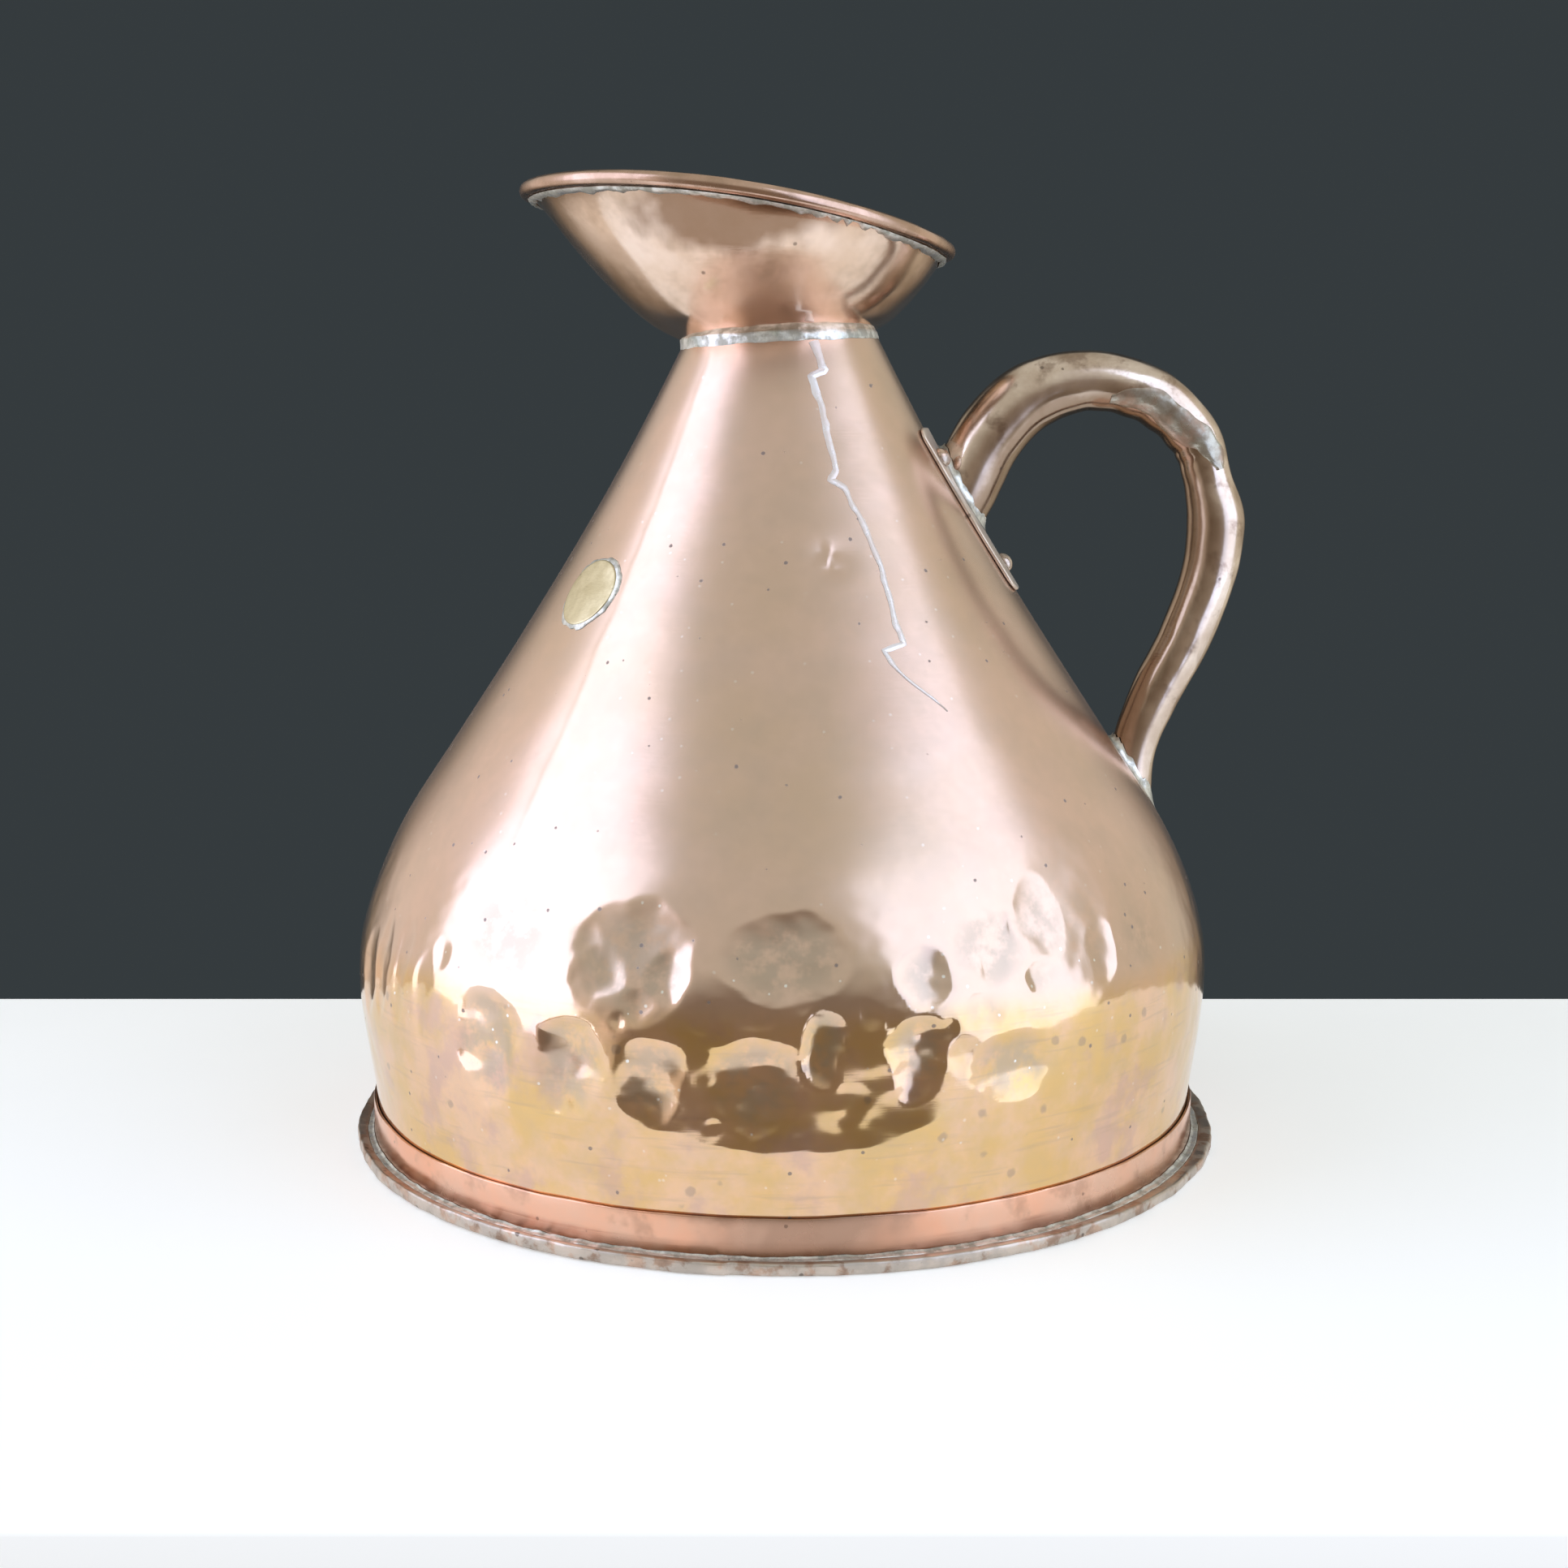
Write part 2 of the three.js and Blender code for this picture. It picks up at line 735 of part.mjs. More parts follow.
addPiece("body_shell", shapeOf(bodyShell()), brownCopper);
addPiece("body_seam_braze", seamBraze(), brass);
addPiece("mouth_funnel", mouthFunnel(), brownCopper);
addPiece("rim_bead", rimBead(), brightCopper);
addPiece("rim_wire", rimWire(), iron);
addPiece("rim_solder", rimSolder(), solderGrey);
addPiece("neck_solder", neckSolder(), solderGrey);
addPiece("base_plate", basePlate(), darkCopper);
addPiece("foot_band", footBand(), brightCopper);
addPiece("foot_solder", footSolder(), solderGrey);
addPiece("handle_tube", shapeOf(handleTube()), darkCopper);
addPiece("handle_seam_solder", shapeOf(handleSeamSolder()), solderGrey);
addPiece("handle_plate", shapeOf(handlePlate()), brownCopper);
for (const [name, [azimuth, height]] of Object.entries(rivetPlaces)) {
  addPiece(name, rivet(), brownCopper).applyMatrix4(frameOnBody(azimuth, height));
}
addPiece(
  "handle_top_solder",
  shapeOf(solderCollar(onPlate, plateLow, plateHigh)),
  solderGrey,
);
addPiece(
  "handle_foot_solder",
  shapeOf(solderCollar(gap, footCollarLow, footCollarHigh)),
  solderGrey,
);
addPiece("brass_disc", shapeOf(discPatch(gap, gap + discThickness, discRadius)), brass);
addPiece(
  "disc_solder",
  shapeOf(
    discPatch(
      gap,
      gap + discSolderThickness,
      discRadius + gap + discSolderWidth,
      discRadius + gap,
    ),
  ),
  solderGrey,
);

export default jug;
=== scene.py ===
from math import asin, cos, pi, radians, sin

import bmesh
import bpy
import numpy as np
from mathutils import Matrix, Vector, noise


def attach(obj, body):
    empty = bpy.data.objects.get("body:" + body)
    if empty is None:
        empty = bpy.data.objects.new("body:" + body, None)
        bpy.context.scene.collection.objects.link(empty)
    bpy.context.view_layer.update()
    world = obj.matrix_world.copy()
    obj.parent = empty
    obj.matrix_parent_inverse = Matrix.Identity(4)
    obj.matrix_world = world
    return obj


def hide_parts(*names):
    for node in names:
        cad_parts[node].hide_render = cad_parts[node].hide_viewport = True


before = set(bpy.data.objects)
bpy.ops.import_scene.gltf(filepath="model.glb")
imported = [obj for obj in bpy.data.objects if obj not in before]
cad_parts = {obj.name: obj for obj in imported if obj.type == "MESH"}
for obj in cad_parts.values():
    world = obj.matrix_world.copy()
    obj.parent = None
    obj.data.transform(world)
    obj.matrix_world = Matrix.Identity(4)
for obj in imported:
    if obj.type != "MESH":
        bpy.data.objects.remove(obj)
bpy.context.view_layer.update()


# Body: one sheet of copper, wrapped into a cone, closed with a brazed seam and
# raised at the bottom into a belly. Hammer and hands have left the cone smooth;
# the belly has been knocked in all round.
body_wall = 1.2
belly_radius, belly_height = 176.2, 64.0
foot_radius, body_foot = 170.4, 1.5
shoulder_radius, shoulder_height = 158.8, 129.0
neck_radius, neck_height, neck_tilt = 39.0, 326.0, 0.058
cone_hollow = 4.5
dented_top = shoulder_height + 14
fold_azimuths = (-130, -9)
pucker_azimuth, pucker_height = radians(-78.1), 243


def between(a, b, share):
    return a + (b - a) * share


def eased(share):
    return share * share * (3 - 2 * share)


def hump(distance, reach):
    return np.exp(-(distance / reach)**2)


def unit(vectors):
    return vectors / np.linalg.norm(vectors, axis=-1, keepdims=True)


def outline_knots():
    knots = [
        (foot_radius, body_foot),
        (170.9, 21.5),
        (belly_radius, belly_height),
        (between(belly_radius, shoulder_radius, 0.17), between(belly_height, shoulder_height, 0.48)),
        (shoulder_radius, shoulder_height),
    ]
    for share in (0.2, 0.4, 0.6, 0.8, 1.0):
        hollow = cone_hollow * sin(pi * share**1.3)
        knots.append((between(shoulder_radius, neck_radius, share) - hollow,
                      between(shoulder_height, neck_height, share)))
    knots.append((between(shoulder_radius, neck_radius, 1.02), between(shoulder_height, neck_height, 1.025)))
    return np.array(knots)


def smooth_outline(knots, steps=160):
    ends = np.concatenate([knots[:1], knots, knots[-1:]])
    rows = []
    for i in range(len(knots) - 1):
        p0, p1, p2, p3 = ends[i:i + 4]
        t = np.arange(steps)[:, None] / steps
        v0, v1 = (p2 - p0) / 2, (p3 - p1) / 2
        rows.append((2 * p1 - 2 * p2 + v0 + v1) * t**3 + (3 * p2 - 3 * p1 - 2 * v0 - v1) * t**2 + v0 * t + p1)
    return np.concatenate([*rows, knots[-1:]])


outline = smooth_outline(outline_knots())
outline_along = np.gradient(outline, axis=0)
outline_along /= np.linalg.norm(outline_along, axis=1)[:, None]


def outline_at(height):
    return [np.interp(height, outline[:, 1], values)
            for values in (outline[:, 0], outline_along[:, 0], outline_along[:, 1])]


def on_body(azimuth, height, out=0.0):
    radius, lean, rise = outline_at(height)
    r, z = radius + rise * out, height - lean * out
    return np.stack(np.broadcast_arrays(r * np.cos(azimuth), r * np.sin(azimuth), z), -1)


def body_radius(height):
    return float(outline_at(height)[0])


def neck_edge(azimuth):
    return neck_height + neck_tilt * neck_radius * np.cos(azimuth)


def ripple(points, size, seed):
    shift = Vector((17.3 * seed, 5.1 * seed, 9.7 * seed))
    flat = points.reshape(-1, 3) / size
    values = [noise.noise(Vector(p) + shift) for p in flat]
    return np.array(values).reshape(points.shape[:-1])


# azimuth in degrees, height, half width, reach down, reach up, depth, how soft the rim is
sunken = [
    (-88.5, 69, 66, 27, 44, 3.5, 1.0), (58, 84, 60, 34, 40, 1.6, 1.3), (122, 80, 62, 34, 44, 2.0, 1.2),
]
hollows = [
    (-127, 112, 22, 20, 19, 2.2, 0.9), (-108, 110, 24, 24, 19, 2.0, 0.95), (-89.5, 111, 24, 16, 15, 2.6, 1.1),
    (-73, 103, 11, 11, 10, 1.8, 1.0), (-64, 111, 16, 15, 14, 2.2, 1.0), (-66, 90, 11, 7, 7, 1.3, 1.0),
    (-50, 116, 22, 30, 30, 1.0, 1.6), (-38, 104, 20, 18, 18, 1.2, 1.6), (-55.5, 117, 14, 15, 15, 1.8, 1.0),
    (-57.5, 99, 9, 6, 6, 1.0, 1.0), (-47, 106, 10, 14, 12, 1.2, 1.0),
    (-127.5, 75, 16, 27, 20, 2.7, 0.9), (-115.5, 73, 14, 24, 15, 2.3, 0.9),
    (-105.5, 69, 12.5, 20, 15, 2.1, 1.0), (-93, 72, 17, 24, 12, 2.2, 0.9), (-85.5, 82, 8.5, 18, 12, 2.4, 0.9),
    (-74.5, 79, 10.5, 20, 12, 2.2, 0.9), (-62.5, 68, 17, 15, 14, 2.3, 1.0),
    (-146, 90, 7, 24, 20, 0.8, 1.0), (-140, 82, 7, 22, 18, 0.6, 1.0), (-152, 86, 7, 20, 22, 1.0, 1.0),
    (-158, 80, 9, 18, 18, 1.0, 1.0),
    (35, 84, 24, 18, 18, 2.2, 1.1), (52, 108, 20, 15, 15, 2.0, 1.1), (78, 62, 18, 20, 14, 2.3, 1.0),
    (96, 104, 22, 16, 16, 2.0, 1.1), (110, 72, 16, 18, 14, 2.2, 1.0), (128, 74, 20, 24, 16, 2.3, 1.0),
    (146, 108, 18, 16, 16, 2.0, 1.1), (163, 92, 18, 16, 16, 2.2, 1.1), (178, 66, 14, 16, 12, 2.0, 1.1),
]
pocks = [
    (-112, 103, 10, 9, 10, 0.7, 1.2), (-103.5, 104, 9, 10, 8, 0.9, 1.1), (-107, 94, 7, 6, 6, 0.7, 1.2),
    (-115, 113, 8, 10, 8, 0.5, 1.3), (-82.5, 60, 7, 9, 7, 0.45, 1.1), (-76, 58, 9, 9, 7, 0.3, 1.1),
    (-80, 91, 6, 6, 6, 0.6, 1.2), (-71, 84, 4, 4, 4, 0.8, 1.3), (-68.5, 75, 8, 8, 8, 0.5, 1.2),
    (-118, 80, 6, 6, 5, 0.5, 1.1), (-114, 71, 6, 6, 6, 0.4, 1.1), (-128, 84, 7, 9, 8, 0.4, 1.2),
    (-130, 67, 7, 8, 8, 0.5, 1.2), (-61, 66, 9, 6, 6, 0.5, 1.1), (-109, 88, 3.5, 3.5, 3.5, 0.7, 1.3),
    (-93, 92, 11, 6, 5, 0.6, 1.2), (-98, 52, 3, 3, 3, 0.3, 1.3), (-121, 54, 7, 5, 5, 0.4, 1.2),
    (-97.5, 74, 7, 10, 8, 0.5, 1.1), (-91, 74, 6, 9, 7, 0.6, 1.1), (-94, 60, 6, 6, 6, 0.4, 1.2),
    (-104, 62, 7, 8, 7, 0.5, 1.2), (-73, 73, 6, 7, 5, 0.3, 1.2), (-73.5, 84, 6, 5, 5, 0.4, 1.1),
    (-95, 33, 2, 2, 2, 0.4, 1.4), (-100, 31, 2, 2, 2, 0.4, 1.4), (-82, 37, 2, 2, 2, 0.3, 1.4),
    (-69, 42, 2, 2, 2, 0.3, 1.4), (-134, 36, 2.5, 2.5, 2.5, 0.4, 1.4), (-137, 100, 6, 6, 6, 0.5, 1.2),
    (-58, 96, 7, 8, 8, 0.4, 1.2), (-64, 104, 7, 9, 8, 0.6, 1.2), (-124, 98, 8, 8, 7, 0.5, 1.2),
    (-131, 106, 9, 8, 8, 0.5, 1.2), (-99, 90, 7, 6, 6, 0.5, 1.1), (-86, 95, 9, 5, 5, 0.45, 1.1),
    (-77, 90, 4, 4, 4, 0.5, 1.2), (-61, 116, 6, 7, 7, 0.5, 1.2), (-126, 72, 6, 8, 9, 0.5, 1.1),
]


def pressed(hits, azimuth, height, sway, together, fade=0.0):
    radius = outline_at(height)[0]
    depth = np.zeros(height.shape)
    for at, level, half_wide, down, up, deep, rim in hits:
        turn = azimuth - radians(at)
        across = radius * np.arctan2(np.sin(turn), np.cos(turn)) + sway
        rise = height - level + 0.8 * sway
        reach = np.where(rise < 0, down, up)
        bowl = np.clip(1 - (across / half_wide)**2 - (rise / reach)**2, 0, None)
        depth = together(depth, deep * bowl**(rim + fade * np.clip(rise / up, 0, 1)))
    return depth


def knocked_in(azimuth, height, surface):
    sway = 3.4 * ripple(surface, 14.0, 3) + 0.7 * ripple(surface, 5.0, 7)
    broad = pressed(sunken, azimuth, height, sway, np.add, 0.8)
    single = pressed(hollows, azimuth, height, sway, np.maximum)
    return broad, single + pressed(pocks, azimuth, height, sway, np.add), sway


def pushed_in(azimuth, height, surface):
    broad, single, sway = knocked_in(azimuth, height, surface)
    belly = eased(np.clip((dented_top - height) / 30, 0, 1))
    above = 1 - belly
    belly = belly * np.clip((height - 17) / 14, 0.1, 1)
    depth = broad + single + belly * (0.35 + 0.5 * ripple(surface, 38.0, 1) + 0.18 * ripple(surface, 14.0, 2)
                                      + 0.07 * ripple(surface, 6.0, 6))
    depth = depth + 0.16 * ripple(surface, 9.0, 8) * np.clip(broad, 0, 1)
    depth = depth + above * (0.16 * ripple(surface, 45.0, 4) + 0.035 * ripple(surface, 12.0, 5))
    for at in fold_azimuths:
        across = outline_at(height)[0] * np.sin(azimuth - radians(at)) + 0.4 * sway
        depth = depth - 0.12 * above * hump(across, 2.2) * (np.cos(azimuth - radians(at)) > 0)
    return depth + pucker(azimuth, height)


def pucker(azimuth, height):
    turn = azimuth - pucker_azimuth
    across = outline_at(height)[0] * np.arctan2(np.sin(turn), np.cos(turn))
    rise = height - pucker_height
    spread, turn = np.hypot(across / 1.4, rise), np.arctan2(rise, across / 1.4)
    star = hump(spread, 2.0 + 1.3 * np.cos(3 * turn + 1.4))
    return 0.7 * hump(spread, 5.5) - 0.95 * star


def loft(name, rings, closed=False, capped=False):
    rings = np.asarray(rings, float)
    count, around = rings.shape[:2]
    index = np.arange(count * around).reshape(count, around)
    low, high = (index, np.roll(index, -1, 0)) if closed else (index[:-1], index[1:])
    faces = np.stack([low, np.roll(low, -1, 1), np.roll(high, -1, 1), high], -1).reshape(-1, 4).tolist()
    points = rings.reshape(-1, 3)
    if capped:
        points = np.concatenate([points, rings[0].mean(0)[None], rings[-1].mean(0)[None]])
        for k in range(around):
            k2 = (k + 1) % around
            faces.append([index[0, k2], index[0, k], count * around])
            faces.append([index[-1, k], index[-1, k2], count * around + 1])
    mesh = bpy.data.meshes.new(name)
    mesh.from_pydata((points * 0.001).tolist(), [], faces)
    build = bmesh.new()
    build.from_mesh(mesh)
    bmesh.ops.recalc_face_normals(build, faces=build.faces)
    build.to_mesh(mesh)
    build.free()
    mesh.shade_smooth()
    mesh.set_sharp_from_angle(angle=radians(48))
    piece = bpy.data.objects.new(name, mesh)
    bpy.context.scene.collection.objects.link(piece)
    return piece


def paint_on(piece, name, values):
    piece.data.attributes.new(name, "FLOAT", "POINT").data.foreach_set("value", values.ravel())


body_around = 760
azimuths = np.arange(body_around) * 2 * pi / body_around
outer_heights = np.concatenate([np.linspace(body_foot, dented_top, 146)[:-1],
                                np.linspace(dented_top, neck_height, 90)])
inner_heights = np.concatenate([np.linspace(neck_height, dented_top, 24)[:-1],
                                np.linspace(dented_top, body_foot, 60)])


def body_side(heights, inwards):
    azimuth, height = np.meshgrid(azimuths, heights)
    share = eased(np.clip((height - dented_top) / (neck_height - dented_top), 0, 1))
    height = height * (1 + (neck_edge(azimuth) - neck_height) / neck_height * share)
    surface = on_body(azimuth, height)
    return on_body(azimuth, height, -pushed_in(azimuth, height, surface) - inwards)


body_rings = np.concatenate([body_side(outer_heights, 0), body_side(inner_heights, body_wall)])
body = loft("body", body_rings, closed=True)
azimuth, height = np.meshgrid(azimuths, np.concatenate([outer_heights, inner_heights]))
fully_sunk = 2.2
sunk = knocked_in(azimuth, height, on_body(azimuth, height))[1] / fully_sunk
paint_on(body, "sunk", sunk)
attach(body, "root")
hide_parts("body_shell")


def add_node(tree, kind, inputs=None, **settings):
    node = tree.nodes.new(kind)
    for key, value in settings.items():
        setattr(node, key, value)
    for key, value in (inputs or {}).items():
        if isinstance(value, bpy.types.NodeSocket):
            tree.links.new(value, node.inputs[key])
        else:
            node.inputs[key].default_value = value
    return node


def new_group(name, inputs, outputs):
    tree = bpy.data.node_groups.new(name, "ShaderNodeTree")
    for direction, sockets in (("INPUT", inputs), ("OUTPUT", outputs)):
        for socket, value in sockets.items():
            kind = "NodeSocketColor" if isinstance(value, tuple) else "NodeSocketFloat"
            made = tree.interface.new_socket(name=socket, in_out=direction, socket_type=kind)
            if direction == "INPUT":
                made.default_value = value
    return tree, tree.nodes.new("NodeGroupInput").outputs, tree.nodes.new("NodeGroupOutput").inputs


def rgb(red, green, blue):
    return (red, green, blue, 1.0)


def math(tree, operation, first, second=0.0):
    return add_node(tree, "ShaderNodeMath", {0: first, 1: second}, operation=operation).outputs[0]


def ramp(tree, value, low, high, to_low=0.0, to_high=1.0):
    node = add_node(tree, "ShaderNodeMapRange", {0: value, 1: low, 2: high, 3: to_low, 4: to_high},
                    interpolation_type="SMOOTHSTEP")
    return node.outputs[0]


def mixed(tree, share, first, second):
    node = add_node(tree, "ShaderNodeMix", {0: share, 6: first, 7: second}, data_type="RGBA")
    return node.outputs[2]


# soft clouds of tarnish that mix two colours of the same metal
tarnish, given, out = new_group(
    "tarnish clouds",
    {"Cloud size": 0.05, "Spread": 0.0, "Softness": 0.1, "Clean": rgb(1, 1, 1), "Tarnished": rgb(0, 0, 0)},
    {"Colour": rgb(1, 1, 1), "Mask": 0.0})
place = add_node(tarnish, "ShaderNodeTexCoord").outputs["Object"]
scale = math(tarnish, "DIVIDE", 1.0, given["Cloud size"])
clouds = add_node(tarnish, "ShaderNodeTexNoise",
                  {"Vector": place, "Scale": scale, "Detail": 5.0, "Roughness": 0.6})
middle = math(tarnish, "SUBTRACT", 0.5, given["Spread"])
mask = ramp(tarnish, clouds.outputs[0], math(tarnish, "SUBTRACT", middle, given["Softness"]),
            math(tarnish, "ADD", middle, given["Softness"]))
tarnish.links.new(mixed(tarnish, mask, given["Clean"], given["Tarnished"]), out["Colour"])
tarnish.links.new(mask, out["Mask"])

# small scattered spots: some cells of a pattern hold one, with an uneven edge
specks, given, out = new_group(
    "specks", {"Spacing": 0.01, "Size": 0.1, "Share": 0.3, "Seed": 0.0}, {"Mask": 0.0})
place = add_node(specks, "ShaderNodeTexCoord").outputs["Object"]
place = add_node(specks, "ShaderNodeVectorMath", {0: place, 1: given["Seed"]}, operation="ADD").outputs[0]
scale = math(specks, "DIVIDE", 1.0, given["Spacing"])
cells = add_node(specks, "ShaderNodeTexVoronoi", {"Vector": place, "Scale": scale})
chance = add_node(specks, "ShaderNodeSeparateColor", {0: cells.outputs["Color"]}).outputs[0]
picked = math(specks, "LESS_THAN", chance, given["Share"])
finer = math(specks, "MULTIPLY", scale, 4.0)
uneven = add_node(specks, "ShaderNodeTexNoise", {"Vector": place, "Scale": finer})
reach = math(specks, "MULTIPLY", given["Size"], math(specks, "ADD", 0.4, uneven.outputs[0]))
inside = ramp(specks, cells.outputs["Distance"], math(specks, "MULTIPLY", reach, 0.6), reach, 1.0, 0.0)
specks.links.new(math(specks, "MULTIPLY", picked, inside), out["Mask"])

# fine marks from rubbing and scouring, drawn out round the jug, over a faint unevenness
rubbing, given, out = new_group(
    "rubbing marks", {"Length": 0.02, "Width": 0.0006, "Depth": 0.5, "Uneven": 0.5},
    {"Height": 0.0, "Mask": 0.0})
place = add_node(rubbing, "ShaderNodeTexCoord").outputs["Object"]
parts = add_node(rubbing, "ShaderNodeSeparateXYZ", {0: place}).outputs
turn = math(rubbing, "ARCTAN2", parts[1], parts[0])
length = add_node(rubbing, "ShaderNodeVectorMath", {0: place}, operation="LENGTH").outputs["Value"]
along = math(rubbing, "DIVIDE", math(rubbing, "MULTIPLY", turn, 0.15), given["Length"])
up = math(rubbing, "DIVIDE", parts[2], given["Width"])
inwards = math(rubbing, "MULTIPLY", length, 8.0)
drawn = add_node(rubbing, "ShaderNodeCombineXYZ", {0: along, 1: up, 2: inwards}).outputs[0]
marks = add_node(rubbing, "ShaderNodeTexNoise", {"Vector": drawn, "Scale": 1.0, "Detail": 3.0}).outputs[0]
lumps = add_node(rubbing, "ShaderNodeTexNoise", {"Vector": place, "Scale": 160.0, "Detail": 3.0}).outputs[0]
height = math(rubbing, "ADD", math(rubbing, "MULTIPLY", marks, given["Depth"]),
              math(rubbing, "MULTIPLY", lumps, given["Uneven"]))
rubbing.links.new(height, out["Height"])
rubbing.links.new(ramp(rubbing, marks, 0.55, 0.75), out["Mask"])


def new_metal(name, **sockets):
    metal = bpy.data.materials.new(name)
    metal.use_nodes = True
    tree = metal.node_tree
    shader = tree.nodes["Principled BSDF"]
    for socket, value in sockets.items():
        shader.inputs[socket.replace("_", " ")].default_value = value
    return metal, tree, shader


def place_group(tree, group, **values):
    node = tree.nodes.new("ShaderNodeGroup")
    node.node_tree = group
    for socket, value in values.items():
        name = socket.replace("_", " ")
        if isinstance(value, bpy.types.NodeSocket):
            tree.links.new(value, node.inputs[name])
        else:
            node.inputs[name].default_value = value
    return node.outputs


def height_share(tree, low, high):
    place = add_node(tree, "ShaderNodeTexCoord").outputs["Object"]
    return ramp(tree, add_node(tree, "ShaderNodeSeparateXYZ", {0: place}).outputs[2], low, high)


def painted(name):
    return lambda tree: add_node(tree, "ShaderNodeAttribute", attribute_name=name).outputs["Fac"]


def blotches(size, softness, spread=0.0):
    return lambda tree: place_group(tree, tarnish, Cloud_size=size, Softness=softness, Spread=spread)["Mask"]


def spots(spacing, size, share, seed=0.0):
    return lambda tree: place_group(tree, specks, Spacing=spacing, Size=size, Share=share, Seed=seed)["Mask"]


def between_heights(low, high):
    return lambda tree: height_share(tree, low, high)


def clouded(tree, size, softness, clean, tarnished):
    return place_group(tree, tarnish, Cloud_size=size, Softness=softness,
                       Clean=rgb(*clean), Tarnished=rgb(*tarnished))


def toned(tree, colour, mask, share, tint):
    return mixed(tree, math(tree, "MULTIPLY", mask, share), colour, rgb(*tint))


def finish_metal(tree, shader, colour, rough, marks):
    length, width, depth, uneven = marks
    height = place_group(tree, rubbing, Length=length, Width=width, Depth=depth, Uneven=uneven)["Height"]
    tree.links.new(colour, shader.inputs["Base Color"])
    tree.links.new(rough, shader.inputs["Roughness"])
    bump = add_node(tree, "ShaderNodeBump", {"Strength": 1.0, "Distance": 0.0001, "Height": height})
    tree.links.new(bump.outputs[0], shader.inputs["Normal"])


# clouds: size, softness, clean and tarnished colour; each layer: where, how strongly, colour;
# rough: where clean, where tarnished; marks: length, width, depth, unevenness
def worn_finish(name, metallic, clouds, layers, rough, marks):
    metal, tree, shader = new_metal(name, Metallic=metallic)
    ground = clouded(tree, *clouds)
    colour = ground["Colour"]
    for mask, share, tint in layers:
        colour = toned(tree, colour, mask(tree), share, tint)
    finish_metal(tree, shader, colour, ramp(tree, ground["Mask"], 0, 1, *rough), marks)
    return metal


body_copper, tree, shader = new_metal("body copper", Metallic=0.93)
clouds = clouded(tree, 0.11, 0.2, (0.82, 0.59, 0.49), (0.72, 0.53, 0.4))
# Below the line where the belly begins to reflect the table, the copper turns golden: partly its own tone,
# partly a painted reflection of the table.
gold_tone_and_reflection = clouded(tree, 0.038, 0.12, (0.76, 0.5, 0.21), (0.84, 0.55, 0.36))
low_belly = height_share(tree, 0.097, 0.084)
colour = mixed(tree, low_belly, clouds["Colour"], gold_tone_and_reflection["Colour"])
sunk_in = painted("sunk")(tree)
grime = blotches(0.0075, 0.13, 0.04)(tree)
# Dents are painted darker the deeper they are sunk: partly grime in the hollows, partly painted shade for the
# darker reflections the hollows catch.
dent_grime_and_shade = math(tree, "MULTIPLY", ramp(tree, sunk_in, 0.05, 0.9, 0.12, 1.0), grime)
dots = spots(0.0085, 0.12, 0.45)(tree)
white = spots(0.0062, 0.13, 0.45, 7.0)(tree)
fire = math(tree, "MULTIPLY", blotches(0.028, 0.07, -0.1)(tree), low_belly)
pits = math(tree, "MULTIPLY", spots(0.013, 0.2, 0.4, 3.0)(tree), low_belly)
colour = toned(tree, colour, fire, 0.45, (0.58, 0.37, 0.36))
colour = toned(tree, colour, dent_grime_and_shade, 0.6, (0.46, 0.39, 0.31))
colour = toned(tree, colour, blotches(0.022, 0.14, -0.04)(tree), 0.16, (0.5, 0.43, 0.37))
colour = toned(tree, colour, dots, 0.7, (0.17, 0.16, 0.17))
colour = toned(tree, colour, pits, 0.45, (0.32, 0.25, 0.22))
seen_white = math(tree, "MULTIPLY", white, ramp(tree, sunk_in, 0.0, 0.3, 0.25, 0.85))
colour = mixed(tree, seen_white, colour, rgb(0.95, 0.94, 0.92))
streaks = place_group(tree, rubbing, Length=0.025, Width=0.0022)["Mask"]
colour = toned(tree, colour, math(tree, "MULTIPLY", streaks, low_belly), 0.28, (0.5, 0.35, 0.26))
rough = 0.08
satin = height_share(tree, 0.085, 0.15)
for mask, share in ((satin, 0.15), (clouds["Mask"], 0.025), (dots, 0.3), (dent_grime_and_shade, 0.09)):
    rough = math(tree, "ADD", math(tree, "MULTIPLY", mask, share), rough)
finish_metal(tree, shader, colour, rough, (0.03, 0.0007, 0.06, 0.12))

tinned_inside = worn_finish(
    "tinned inside", 0.85, (0.03, 0.14, (0.42, 0.41, 0.38), (0.24, 0.2, 0.16)),
    [(spots(0.008, 0.2, 0.3), 1.0, (0.14, 0.11, 0.09))], (0.38, 0.6), (0.01, 0.001, 0.2, 0.5))


def line_inside(piece, from_row, around):
    for face in piece.data.polygons:
        face.material_index = 1 if face.index >= from_row * around else 0


body.data.materials.append(body_copper)
body.data.materials.append(tinned_inside)
line_inside(body, len(outer_heights) - 1, body_around)


# Side seam: the edges of the sheet are cut into tabs, lapped and brazed. The braze
# shows as a thin pale line that jogs round the tabs and stands just proud. Its lilac
# white is partly the braze's own colour and partly a painted highlight.
# azimuth in degrees, distance below the neck
route = np.array([
    (-72.5, 2.0), (-69.5, 13), (-76, 15.5), (-73.5, 28), (-72, 51), (-74.5, 54.5), (-70.5, 57.5), (-67, 70),
    (-65, 86), (-65, 107), (-64.5, 114), (-69.5, 116), (-67.5, 123), (-62, 133), (-59.5, 138)])
steps = np.concatenate([np.linspace(i, i + 1, 9)[:-1] for i in range(len(route) - 1)] + [[len(route) - 1]])
turns = np.radians(np.interp(steps, np.arange(len(route)), route[:, 0]))
levels = neck_height - np.interp(steps, np.arange(len(route)), route[:, 1])
seam_middle = on_body(turns, levels)
turns = turns + 0.7 * ripple(seam_middle, 5.0, 11) / outline_at(levels)[0]
seam_middle = on_body(turns, levels)
seam_out = unit(on_body(turns, levels, 1.0) - seam_middle)
